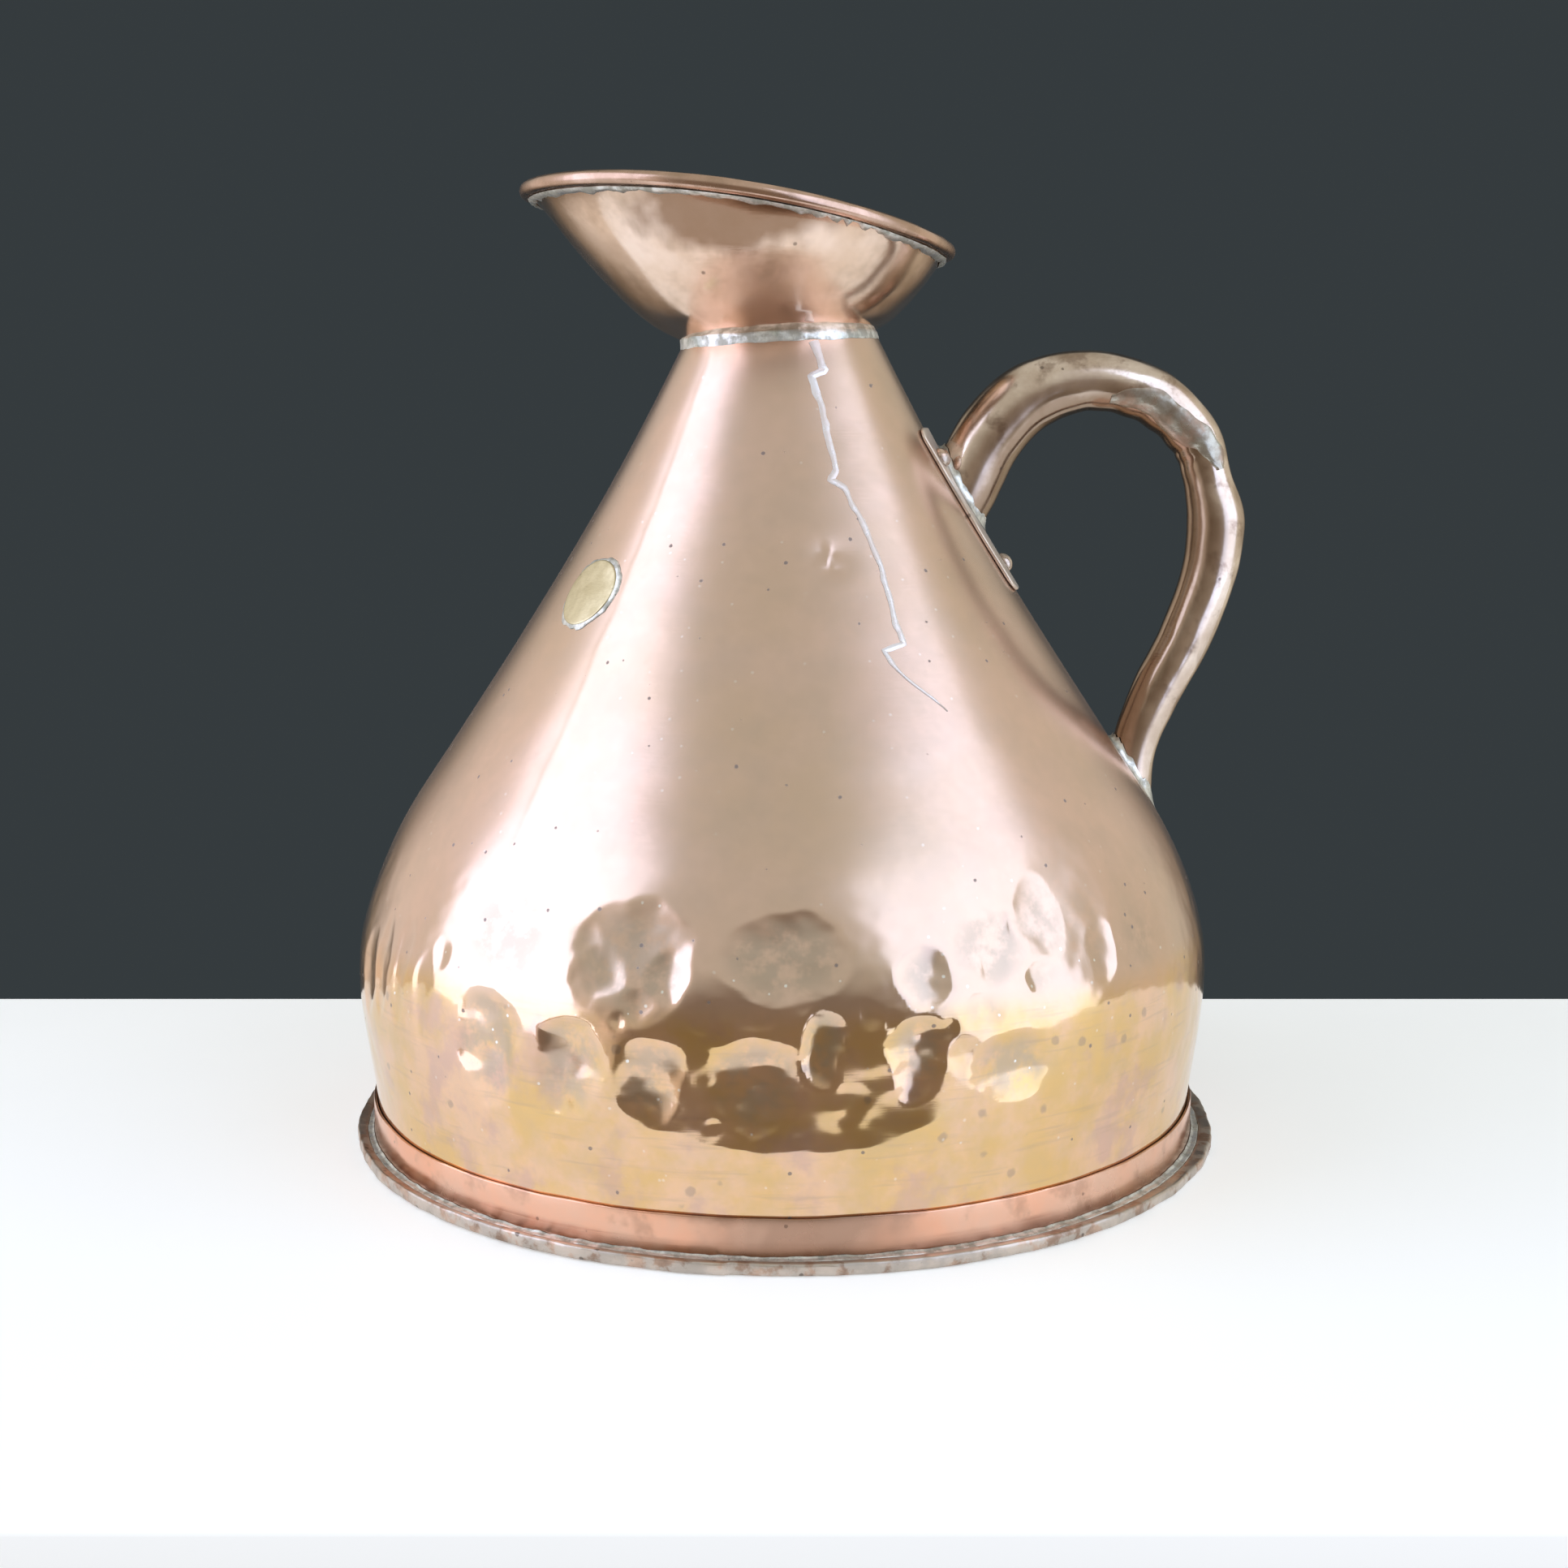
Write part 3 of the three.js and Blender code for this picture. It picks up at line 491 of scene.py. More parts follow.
seam_aside = unit(np.cross(seam_out, unit(np.gradient(seam_middle, axis=0))))
half = (1.3 + 0.5 * ripple(seam_middle, 4.0, 12))
half *= np.interp(steps, [0, 1, 4, len(route) - 4, len(route) - 1], [1.5, 1.3, 1, 0.85, 0.25])
seam_rings = []
for side, out_by in ((-1, 0.05), (-0.6, 0.3), (0, 0.42), (0.6, 0.3), (1, 0.05), (0, -0.1)):
    seam_rings.append(seam_middle + seam_aside * (side * half)[:, None] + seam_out * out_by)
seam = loft("body_seam", np.stack(seam_rings, 1), capped=True)
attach(seam, "root")
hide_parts("body_seam_braze")

# near-white lilac: partly the braze's own colour, partly a painted highlight
braze = worn_finish("braze", 0.45, (0.012, 0.12, (0.96, 0.94, 0.97), (0.87, 0.77, 0.73)), [],
                    (0.22, 0.34), (0.002, 0.002, 0.5, 1.0))
seam.data.materials.append(braze)


# Mouth: a funnel raised from a second sheet, planished from the outside and tinned
# within. Its sleeve goes down inside the neck, and its round edge slants to the lip.
gap = 0.3
mouth_wall, waist_rise, sleeve_length = 1.2, 1.4, 8.0
mouth_rise, rim_radius, rim_shift, rim_tilt, rim_crown = 48.3, 84.3, 17.7, 0.139, 2.7
bead_radius, bead_wall = 3.0, 0.7
wire_radius = bead_radius - bead_wall - 2 * gap
mouth_around = 240
rim_turns = np.arange(mouth_around) * 2 * pi / mouth_around


def round_about(azimuth, radius, height):
    return np.stack(np.broadcast_arrays(radius * np.cos(azimuth), radius * np.sin(azimuth), height), -1)


def bent_line(knots, shares):
    knots = np.asarray(knots, float)
    ends = np.concatenate([[2 * knots[0] - knots[1]], knots, [2 * knots[-1] - knots[-2]]])
    rows = []
    for share in shares:
        at = share * (len(knots) - 1)
        i = min(int(at), len(knots) - 2)
        t = at - i
        p0, p1, p2, p3 = ends[i:i + 4]
        d0, d1, d2 = [np.sum((b - a)**2, -1, keepdims=True)**0.25 for a, b in ((p0, p1), (p1, p2), (p2, p3))]
        m1 = ((p1 - p0) / d0 - (p2 - p0) / (d0 + d1) + (p2 - p1) / d1) * d1
        m2 = ((p2 - p1) / d1 - (p3 - p1) / (d1 + d2) + (p3 - p2) / d2) * d1
        rows.append((2 * p1 - 2 * p2 + m1 + m2) * t**3 + (3 * p2 - 3 * p1 - 2 * m1 - m2) * t**2 + m1 * t + p1)
    return np.array(rows)


bead_middle = round_about(rim_turns, rim_radius, neck_height + mouth_rise
                          - rim_tilt * rim_radius * np.cos(rim_turns) - rim_crown * np.cos(2 * rim_turns))
bead_middle[:, 0] -= rim_shift
neck_inset = body_wall + gap + mouth_wall / 2
edge = neck_edge(rim_turns)
edge_radius = outline_at(edge)[0]
waist = round_about(rim_turns, edge_radius - neck_inset, edge + waist_rise)
mouth_knots = [waist]
for across, rise in ((0.22, 0.125), (0.44, 0.325), (0.67, 0.595), (0.88, 0.88)):
    mouth_knots.append(waist + (bead_middle - waist) * np.array([across, across, rise]))
rim_along = unit(bead_middle - mouth_knots[-1])
mouth_knots.append(bead_middle - rim_along * (wire_radius + gap))
level_round = unit(np.stack([-(bead_middle - waist)[:, 1], (bead_middle - waist)[:, 0], 0 * rim_turns], -1))
rim_outwards = -np.cross(rim_along, level_round)
mouth_shares = np.linspace(0, 1, 37)
mouth_line = bent_line(mouth_knots, mouth_shares)
mouth_out = -np.cross(unit(np.gradient(mouth_line, axis=0)), level_round[None])
planished = 0.3 * ripple(mouth_line, 17.0, 21) + 0.5 * ripple(mouth_line, 42.0, 22)
planished *= np.sin(pi * mouth_shares)[:, None]**0.5


def mouth_side(out_by):
    sleeve = round_about(rim_turns, edge_radius - neck_inset + out_by, edge - sleeve_length)
    start = round_about(rim_turns, edge_radius - neck_inset + out_by, edge + 0.3 * waist_rise)
    wall = mouth_line + mouth_out * (out_by + planished[..., None])
    return np.concatenate([sleeve[None], start[None], wall[1:]])


outer, inner = mouth_side(mouth_wall / 2), mouth_side(-mouth_wall / 2)[::-1]
mouth = loft("mouth", np.concatenate([outer, inner]), closed=True)
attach(mouth, "root")
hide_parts("mouth_funnel")
around_mouth = np.concatenate([outer, inner])
# A dark brown patch is painted on the front of the funnel's upper half: a painted reflection of the cone's
# dark middle below it.
dark_patch_x, dark_patch_height, dark_patch_half_wide, dark_patch_half_high = -17, 371, 40, 17
from_dark_patch = ((around_mouth[..., 0] - dark_patch_x) / dark_patch_half_wide)**2
from_dark_patch += ((around_mouth[..., 2] - dark_patch_height) / dark_patch_half_high)**2
uneven = 0.5 * ripple(around_mouth, 14.0, 23) + 0.25 * ripple(around_mouth, 5.0, 24)
painted_dark_reflection = np.clip(1.5 * (1.15 - from_dark_patch + uneven), 0, 1)
painted_dark_reflection *= around_mouth[..., 1] < 0
paint_on(mouth, "painted_dark_reflection", painted_dark_reflection)

mouth_copper = worn_finish("mouth copper", 0.95, (0.045, 0.16, (0.97, 0.76, 0.64), (0.82, 0.6, 0.45)), [
    (blotches(0.03, 0.12, -0.07), 0.5, (0.42, 0.28, 0.18)),
    # painted reflection: the front of the upper funnel darkened
    (painted("painted_dark_reflection"), 0.9, (0.29, 0.17, 0.1)),
    (spots(0.011, 0.1, 0.25, 2.0), 0.6, (0.12, 0.08, 0.06))], (0.11, 0.2), (0.02, 0.0008, 0.08, 0.25))
mouth.data.materials.append(mouth_copper)
mouth.data.materials.append(tinned_inside)
line_inside(mouth, len(outer) - 1, mouth_around)


# Rim: the bead is a narrow strip of copper rolled over an iron wire and gripping the
# funnel's edge. Wear has kept it brighter than the sheet below it.
def about_bead(section):
    rows = []
    for offsets in section:
        forward, aside = [np.reshape(offset, (-1, 1)) for offset in offsets]
        rows.append(bead_middle + rim_along * forward + rim_outwards * aside)
    return np.array(rows)


def bead_arc(radius, start, end, steps):
    return [(radius * np.cos(a), radius * np.sin(a)) for a in np.linspace(start, end, steps)]


hand_rolled = 0.09 * ripple(bead_middle, 13.0, 31) + 0.05 * ripple(bead_middle, 5.0, 32) - 0.22
grip = bead_radius - bead_wall
mouth_gap = pi - asin((mouth_wall / 2 + gap) / grip)
bead_section = bead_arc(bead_radius + hand_rolled, mouth_gap, -mouth_gap, 26)
bead_section += bead_arc(grip, -mouth_gap, mouth_gap, 12)
bead = loft("rim_bead_copper", about_bead(bead_section), closed=True)
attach(bead, "root")
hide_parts("rim_bead")

bead_copper = worn_finish("bead copper", 0.97, (0.02, 0.14, (0.68, 0.46, 0.36), (0.48, 0.32, 0.23)), [
    (spots(0.006, 0.12, 0.2, 5.0), 0.7, (0.2, 0.12, 0.09))], (0.18, 0.3), (0.015, 0.0006, 0.1, 0.3))
bead.data.materials.append(bead_copper)

# the wire itself keeps its solid and only shows in the slot below the bead
iron = worn_finish("iron wire", 0.7, (0.004, 0.1, (0.16, 0.15, 0.14), (0.2, 0.1, 0.06)), [],
                   (0.5, 0.8), (0.002, 0.002, 0.6, 1.0))
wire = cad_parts["rim_wire"]
wire.data.materials.clear()
wire.data.materials.append(iron)


# Soft solder runs round under the bead in a ragged line, and is wiped round the waist
# where the funnel's sleeve goes into the neck.
rim_solder_drop, rim_solder_bulge = 3.0, 1.5
ragged = ripple(bead_middle, 6.0, 41) + 0.6 * ripple(bead_middle, 2.4, 42)
drop = rim_solder_drop * (1.0 + 0.5 * ragged)
bulge = rim_solder_bulge * (0.75 + 0.4 * ripple(bead_middle, 4.0, 43))
bare_azimuth, bare_reach = 300, 14
missing = hump(np.degrees(rim_turns) - bare_azimuth, bare_reach) * (ripple(bead_middle, 5.0, 44) > 0.0)
drop, bulge = np.clip(drop * (1 - 0.8 * missing), 0.5, 4.2), np.clip(bulge * (1 - 0.7 * missing), 0.15, 1.5)
solder_side = mouth_wall / 2 + gap
clear = bead_radius + gap


def under_bead(aside):
    return -np.sqrt(clear**2 - aside**2)


def bowed(start, corner, end, t):
    return (1 - t)**2 * start + 2 * t * (1 - t) * corner + t * t * end


low = under_bead(solder_side)
rim_solder_section = [
    (low - down * drop, solder_side + out_by * bulge)
    for down, out_by in ((0, 0), (0.5, 0), (1, 0), (0.85, 0.35), (0.55, 0.75), (0.25, 1))]
rim_solder_section.append((under_bead(solder_side + 0.9 * bulge), solder_side + 0.9 * bulge))
rim_solder = loft("rim_solder_line", about_bead(rim_solder_section), closed=True)
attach(rim_solder, "root")
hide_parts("rim_solder")

band_points = round_about(rim_turns, edge_radius, edge)
uneven = ripple(band_points, 9.0, 51) + 0.5 * ripple(band_points, 3.5, 52)
lower = edge - 2.1 + 0.6 * uneven
upper_share = 0.042 + 0.014 * ripple(band_points, 7.0, 53)
blob_azimuth, blob_reach = 283, 5
blob = hump(np.degrees(rim_turns) - blob_azimuth, blob_reach)
proud = 0.55 + 0.15 * uneven + 0.6 * blob
waist_line = bent_line(mouth_knots, np.linspace(0, 0.2, 41))
waist_out = -np.cross(unit(np.gradient(waist_line, axis=0)), level_round[None])
at_row = np.clip(upper_share / 0.2 * 40, 0, 39)
row = at_row.astype(int)
column = np.arange(mouth_around)
upper = between(waist_line[row, column], waist_line[row + 1, column], (at_row - row)[:, None])
upper_out = waist_out[row, column]
neck_low = on_body(rim_turns, lower, 0.05)
neck_high = upper + upper_out * (mouth_wall / 2 + 0.05)
neck_corner = round_about(rim_turns, edge_radius + 0.05, edge + 0.2)
neck_side = round_about(rim_turns, 1.0, 0.0)
neck_rows = [neck_low]
for t in np.linspace(0, 1, 11)[1:-1]:
    along_band = bowed(neck_low, neck_corner, neck_high, t)
    swell = np.sin(pi * t)**0.6 * (proud + 0.12 * ripple(along_band, 2.5, 54))
    neck_rows.append(along_band + neck_side * swell[:, None])
neck_rows += [neck_high, upper + upper_out * (mouth_wall / 2 - 0.1),
              round_about(rim_turns, edge_radius - neck_inset + mouth_wall / 2, edge + 0.4),
              on_body(rim_turns, edge, -0.15)]
neck_solder = loft("neck_solder_band", np.array(neck_rows), closed=True)
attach(neck_solder, "root")
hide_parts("neck_solder")

solder = worn_finish("wiped solder", 0.75, (0.005, 0.12, (0.84, 0.84, 0.8), (0.46, 0.45, 0.39)), [
    (blotches(0.011, 0.08, -0.1), 0.5, (0.3, 0.34, 0.27)),
    (spots(0.003, 0.2, 0.25, 4.0), 0.7, (0.12, 0.1, 0.08))], (0.3, 0.55), (0.003, 0.0015, 1.0, 3.0))
rim_solder.data.materials.append(solder)
neck_solder.data.materials.append(solder)


# Foot: the base is a flat disc whose edge is turned up and folded over the flange of
# the band, dented and pushed aside by use, and lapped where the fold ends.
base_thickness = 1.2
band_wall, band_top = 1.4, 19.0
band_inner = max(foot_radius, body_radius(band_top)) + gap
band_outer = band_inner + band_wall
flange_reach = 8.0
flange_radius = band_outer + flange_reach
lip_inner = flange_radius - 0.61 * flange_reach
lip_top = 3 * base_thickness + 2 * gap
lip_lift, lip_sway, lip_sway_azimuth = 2.2, 1.1, -35
flat_reach = 120
lap_azimuth, band_lap_azimuth = -96.1, -97.9
foot_around = 720
foot_turns = np.arange(foot_around) * 2 * pi / foot_around


def since(azimuth, start):
    return (np.degrees(azimuth) - start) % 360


def softened(section, radius):
    section = np.array(section, float)
    soft = []
    for i, corner in enumerate(section):
        to_before, to_after = section[i - 1] - corner, section[(i + 1) % len(section)] - corner
        a, b = [corner + unit(way) * min(radius, 0.45 * np.linalg.norm(way)) for way in (to_before, to_after)]
        soft += [bowed(a, corner, b, t) for t in (0, 0.35, 0.65, 1)]
    return soft


def bent_rim(section):
    rows = []
    for r, z in section:
        share = np.clip((r - band_outer) / flange_reach, 0, 1)
        wave = 0.5 - 0.35 * np.cos(foot_turns) + 0.15 * np.sin(5 * foot_turns)
        radius = r + lip_sway * share * np.cos(foot_turns - radians(lip_sway_azimuth))
        flat = round_about(foot_turns, r, z)
        bumps = 0.6 * ripple(flat, 24.0, 61) + 0.45 * ripple(flat, 9.0, 62) + 0.2 * ripple(flat, 4.0, 64)
        knocked = share * (bumps - 0.55)
        lapped = share * 0.9 * np.clip(1 - since(foot_turns, lap_azimuth) / 40, 0, 1)
        lift = lip_lift * wave * share**1.5 + share * (0.35 * ripple(flat, 15.0, 63) + 0.1)
        level = np.maximum(z + lift * min(1, z / 2 + 0.3), 0)
        rows.append(round_about(foot_turns, radius + knocked - lapped, level))
    return np.array(rows)


base_section = softened([
    (flat_reach, 0), (flange_radius, 0), (flange_radius, lip_top), (lip_inner, lip_top),
    (lip_inner, lip_top - base_thickness), (flange_radius - base_thickness, lip_top - base_thickness),
    (flange_radius - base_thickness, base_thickness), (flat_reach, base_thickness)], 1.3)
base_rings = bent_rim([(6, 0), (60, 0), *base_section[2:-2], (60, base_thickness), (6, base_thickness)])
base = loft("base", base_rings, capped=True)
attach(base, "root")
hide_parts("base_plate")

base_copper = worn_finish("base copper", 0.9, (0.012, 0.14, (0.6, 0.43, 0.33), (0.32, 0.22, 0.16)), [
    (blotches(0.008, 0.06, 0.04), 0.6, (0.62, 0.59, 0.53)),
    (spots(0.006, 0.22, 0.3, 6.0), 0.7, (0.08, 0.055, 0.04))], (0.3, 0.5), (0.01, 0.0009, 0.8, 1.2))
base.data.materials.append(base_copper)


# Foot band: a strip of redder copper flanged outwards, wrapped round the foot of the
# body and lapped at the front, its top edge soldered and gone dark along the joint.
flange_low, flange_top, flange_bend = base_thickness + gap, 2 * base_thickness + gap, 1.2
flange_edge = flange_radius - base_thickness - gap
band_section = softened([
    (band_inner, flange_low), (flange_edge, flange_low), (flange_edge, flange_top),
    (band_outer + flange_bend, flange_top), (band_outer, flange_top + flange_bend), (band_outer, 9),
    (band_outer, 14), (band_outer - 0.1, band_top), (band_inner, band_top)], 0.5)
band_rings = bent_rim(band_section)
band_flat = round_about(foot_turns, band_outer, 10.0)
for ring, (r, z) in zip(band_rings, band_section):
    web = np.clip((z - 4) / 4, 0, 1) * (r > band_outer - 0.5)
    lap = 0.45 * np.clip(1 - since(foot_turns, band_lap_azimuth) / 14, 0, 1)
    dent = 0.25 + 0.35 * ripple(band_flat * [1, 1, 1] + [0, 0, z], 20.0, 71)
    ring[:, :2] -= np.stack([np.cos(foot_turns), np.sin(foot_turns)], -1) * (web * (lap + dent))[:, None]
    top_edge = np.clip((z - 15) / 4, 0, 1)
    ring[:, 2] += top_edge * (0.5 * ripple(band_flat, 26.0, 72) - 0.35)
band = loft("foot_band_copper", band_rings, closed=True)
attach(band, "root")
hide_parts("foot_band")
# The front of the band is painted brown: a painted reflection of the dim room in front.
dark_front_x, dark_front_reach = 10, 38
painted_dark_front = np.exp(-((band_rings[..., 0] - dark_front_x) / dark_front_reach)**4) * (band_rings[..., 1] < 0)
uneven = 1 + 0.5 * ripple(band_rings, 16.0, 73) + 0.3 * ripple(band_rings, 5.0, 74)
painted_dark_front = np.clip(painted_dark_front * uneven, 0, 1)
paint_on(band, "painted_dark_front", painted_dark_front)


def dark_joint(tree):
    gaps = ramp(tree, blotches(0.012, 0.12)(tree), 0, 1, 0.0, 0.5)
    return math(tree, "MULTIPLY", height_share(tree, 0.0182, 0.019), gaps)


band_copper = worn_finish("band copper", 0.96, (0.05, 0.2, (0.88, 0.44, 0.28), (0.76, 0.49, 0.36)), [
    (blotches(0.014, 0.1, -0.1), 0.5, (0.42, 0.24, 0.16)),
    # painted reflection: the front of the band darkened
    (painted("painted_dark_front"), 0.8, (0.38, 0.23, 0.16)),
    # painted shade: darker towards the bottom of the band, where it curves out into the flange
    (between_heights(0.0105, 0.0045), 0.75, (0.36, 0.19, 0.12)),
    (dark_joint, 1.0, (0.16, 0.11, 0.08)),
    (spots(0.009, 0.12, 0.25, 8.0), 0.6, (0.12, 0.07, 0.05))], (0.16, 0.28), (0.04, 0.0008, 0.12, 0.3))
band.data.materials.append(band_copper)


# Foot solder: a fillet run into the angle between the band and the folded lip to
# hold the base on. It has gone grey and crumbly.
solder_low = 2 * (base_thickness + gap)
foot_solder_section = softened([
    (band_outer + 0.1, solder_low), (lip_inner - 0.1, solder_low), (lip_inner - 0.1, lip_top - 0.15),
    (band_outer + 1.1, lip_top + 0.25), (band_outer + 0.1, solder_low + 2.2)], 0.4)
foot_rings = bent_rim(foot_solder_section)
for ring, (r, z) in zip(foot_rings, foot_solder_section):
    if z > solder_low + 0.6:
        ring[:, 2] += 0.45 * ripple(ring, 5.0, 81) + 0.25 * ripple(ring, 2.2, 82) - 0.1
foot_solder = loft("foot_solder_line", foot_rings, closed=True)
foot_solder.data.materials.append(solder)
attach(foot_solder, "root")
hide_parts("foot_solder")


# Handle: a tapered tube rolled from sheet, filled with pitch and bent, which has left
# flats and creases on the inner side of the bend. Its inner side and outermost edge are
# painted darker, as shade and dark reflections, leaving a bright band along its front.
root_height, handle_foot_height = neck_height - 60, 150.0
handle_reach, handle_rise = 106.4, 43.8
root_tube, mid_tube, foot_tube, tube_wall = 14.5, 11.7, 9.3, 1.2
root_at, foot_at = body_radius(root_height), body_radius(handle_foot_height)
handle_span = root_height - handle_foot_height


def from_root(across, rise, tube):
    return root_at + across * handle_reach, root_height + rise * handle_rise, tube


def from_foot(across, rise, tube):
    return foot_at + across * handle_reach, handle_foot_height + rise * handle_span, tube


handle_knots = [
    from_root(-0.066, -0.41, root_tube), from_root(0.0235, 0, root_tube), from_root(0.119, 0.47, root_tube),
    from_root(0.279, 0.86, 0.98 * root_tube), from_root(0.502, 1, 1.07 * mid_tube),
    from_root(0.737, 0.86, mid_tube), from_root(0.908, 0.49, 0.93 * mid_tube),
    from_root(0.957, 0.18, 0.87 * mid_tube), from_root(1, -0.27, 1.02 * mid_tube),
    from_foot(0.291, 0.733, mid_tube), from_foot(0.197, 0.474, 0.95 * mid_tube),
    from_foot(0.085, 0.267, 1.14 * foot_tube), from_foot(0.009, 0.069, 1.02 * foot_tube),
    from_foot(0, -0.172, foot_tube)]
line_shares = np.linspace(0, 1, 1301)
handle_line = bent_line(handle_knots, line_shares)
handle_along = unit(np.gradient(handle_line[:, :2], axis=0))


def on_tube(share, angle, wider=0.0):
    x, z, tube = [np.interp(share, line_shares, handle_line[:, i]) for i in range(3)]
    along_x, along_z = [np.interp(share, line_shares, handle_along[:, i]) for i in range(2)]
    beside, across = np.cos(angle) * (tube + wider), np.sin(angle) * (tube + wider)
    return np.stack(np.broadcast_arrays(x - along_z * beside, across, z + along_x * beside), -1)


def off_body(points):
    flat = points.reshape(-1, 3)
    r, z = np.hypot(flat[:, 0], flat[:, 1]), flat[:, 2]
    sparse, along = outline[::4], outline_along[::4]
    near = np.argmin((r[:, None] - sparse[:, 0])**2 + (z[:, None] - sparse[:, 1])**2, 1)
    out_by = (r - sparse[near, 0]) * along[near, 1] - (z - sparse[near, 1]) * along[near, 0]
    return out_by.reshape(points.shape[:-1])


def tube_meets(angle, surface, wider, low, high):
    low, high = np.full(len(angle), low), np.full(len(angle), high)
    outside_low = off_body(on_tube(low, angle, wider)) > surface
    for _ in range(18):
        middle = (low + high) / 2
        same = (off_body(on_tube(middle, angle, wider)) > surface) == outside_low
        low, high = np.where(same, middle, low), np.where(same, high, middle)
    return (low + high) / 2


plate_wall = 1.5
plate_top = gap + plate_wall
tube_around, tube_rows, inner_rows = 56, 150, 50
crease_at, knock_at, bulge_at = 0.42, 0.57, 0.615
tube_angles = np.arange(tube_around) * 2 * pi / tube_around
root_share = tube_meets(tube_angles, plate_top + gap, 0.0, 0.0, 0.25)
foot_share = tube_meets(tube_angles, gap, 0.0, 1.0, 0.8)


def tube_side(wider, rows):
    share = root_share + (foot_share - root_share) * rows[:, None]
    angle = np.broadcast_to(tube_angles, share.shape)
    skin = on_tube(share, angle)
    worn = 0.3 * ripple(skin, 19.0, 91) + 0.13 * ripple(skin, 8.0, 92)
    inner_bend = np.clip(-np.cos(angle), 0, 1) * hump(share - crease_at, 0.12)
    creases = 0.7 * inner_bend * np.sin(share * 150 + 2 * ripple(skin, 20.0, 93))
    outside = np.clip(np.cos(angle + 0.4), 0, 1)
    knock = 0.65 * hump(share - knock_at, 0.026) - 0.3 * hump(share - bulge_at, 0.024)
    return on_tube(share, angle, wider - (0.3 + worn + creases * 0.4 + outside * knock))


tube_outer = tube_side(0.0, np.linspace(0, 1, tube_rows))
tube_inner = tube_side(-tube_wall, np.linspace(1, 0, inner_rows))
tube = loft("handle", np.concatenate([tube_outer, tube_inner]), closed=True)
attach(tube, "root")
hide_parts("handle_tube")
# painted shade: the tube's inner side and its outermost edge are darkened
facing = np.cos(np.broadcast_to(tube_angles, (tube_rows + inner_rows, tube_around)))
skin = np.concatenate([tube_outer, tube_inner])
facing = facing + 0.22 * ripple(skin, 12.0, 94) + 0.12 * ripple(skin, 4.0, 95)
painted_dark_edges = np.clip((0.05 - facing) / 0.5, 0, 1) + 0.9 * np.clip((facing - 0.72) / 0.25, 0, 1)
paint_on(tube, "painted_dark_edges", painted_dark_edges)

handle_copper = worn_finish("handle copper", 0.94, (0.03, 0.16, (0.92, 0.78, 0.68), (0.64, 0.5, 0.4)), [
    (blotches(0.012, 0.08, -0.1), 0.6, (0.22, 0.13, 0.09)),
    # painted shade and dark reflections on the tube's sides
    (painted("painted_dark_edges"), 0.85, (0.3, 0.2, 0.13)),
    (spots(0.008, 0.13, 0.3, 9.0), 0.6, (0.07, 0.045, 0.035))], (0.12, 0.22), (0.012, 0.0012, 0.15, 0.5))
tube.data.materials.append(handle_copper)

# a patch of solder wanders over the front of the bend, along the tube's seam
mend_start, mend_length = 8 / 24, 5 / 24
patch_rows = []
for share in np.linspace(0, 1, 60):
    at = mend_start + mend_length * share
    middle = radians(-125 + 58 * share) + 0.12 * sin(9 * share)
    spread = radians(34) * (sin(pi * min(max(share, 0.02), 0.98))**0.45)
    loop = []
    for side in np.linspace(-1, 1, 15):
        wobble = 1 + 0.25 * noise.noise(Vector((share * 9, np.sign(side) * 3.1, 4.2)))
        dome = (1 - side * side)**0.5
        lump = 0.35 + 0.4 * noise.noise(Vector((share * 13, side * 2.5, 8.8)))
        loop.append(on_tube(at, middle + side * spread * wobble, 0.02 + dome * (0.25 + lump * 0.6)))
    for side in np.linspace(0.9, -0.9, 7):
        loop.append(on_tube(at, middle + side * spread, -0.75))
    patch_rows.append(loop)
patch = loft("handle_mend", np.array(patch_rows), capped=True)
mend = worn_finish("old mend", 0.8, (0.009, 0.14, (0.52, 0.5, 0.43), (0.28, 0.22, 0.16)), [
    (blotches(0.014, 0.08, -0.05), 0.7, (0.45, 0.31, 0.23))], (0.26, 0.42), (0.006, 0.0015, 0.6, 2.0))
patch.data.materials.append(mend)
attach(patch, "root")
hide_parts("handle_seam_solder")


# Plate: a sheet of thicker copper with rounded corners, bent to the cone under the
# upper end of the handle so that the pull of a full jug doesn't tear the body.
plate_height = root_height - 8
plate_long, plate_wide, plate_corner = 75.0, 45.0, 6.0


def patch_on_body(azimuth, height, rings):
    rows = []
    slope = float(outline_at(height)[2])
    for u, v, out_by in rings:
        levels = height + slope * v
        rows.append(on_body(azimuth + np.arcsin(u / outline_at(levels)[0]), levels, out_by))
    return np.array(rows)


def rounded_oblong(half_wide, half_long, corner, per_corner=10, per_side=10):
    points, sides = [], ((1, 1), (-1, 1), (-1, -1), (1, -1))

    def on_corner(quarter, turn):
        sx, sy = sides[quarter % 4]
        return sx * (half_wide - corner) + corner * cos(turn), sy * (half_long - corner) + corner * sin(turn)

    for quarter in range(4):
        for a in np.linspace(0, pi / 2, per_corner):
            points.append(on_corner(quarter, quarter * pi / 2 + a))
        start, end = points[-1], on_corner(quarter + 1, (quarter + 1) * pi / 2)
        for t in np.arange(1, per_side) / per_side:
            points.append((between(start[0], end[0], t), between(start[1], end[1], t)))
    return np.array(points)


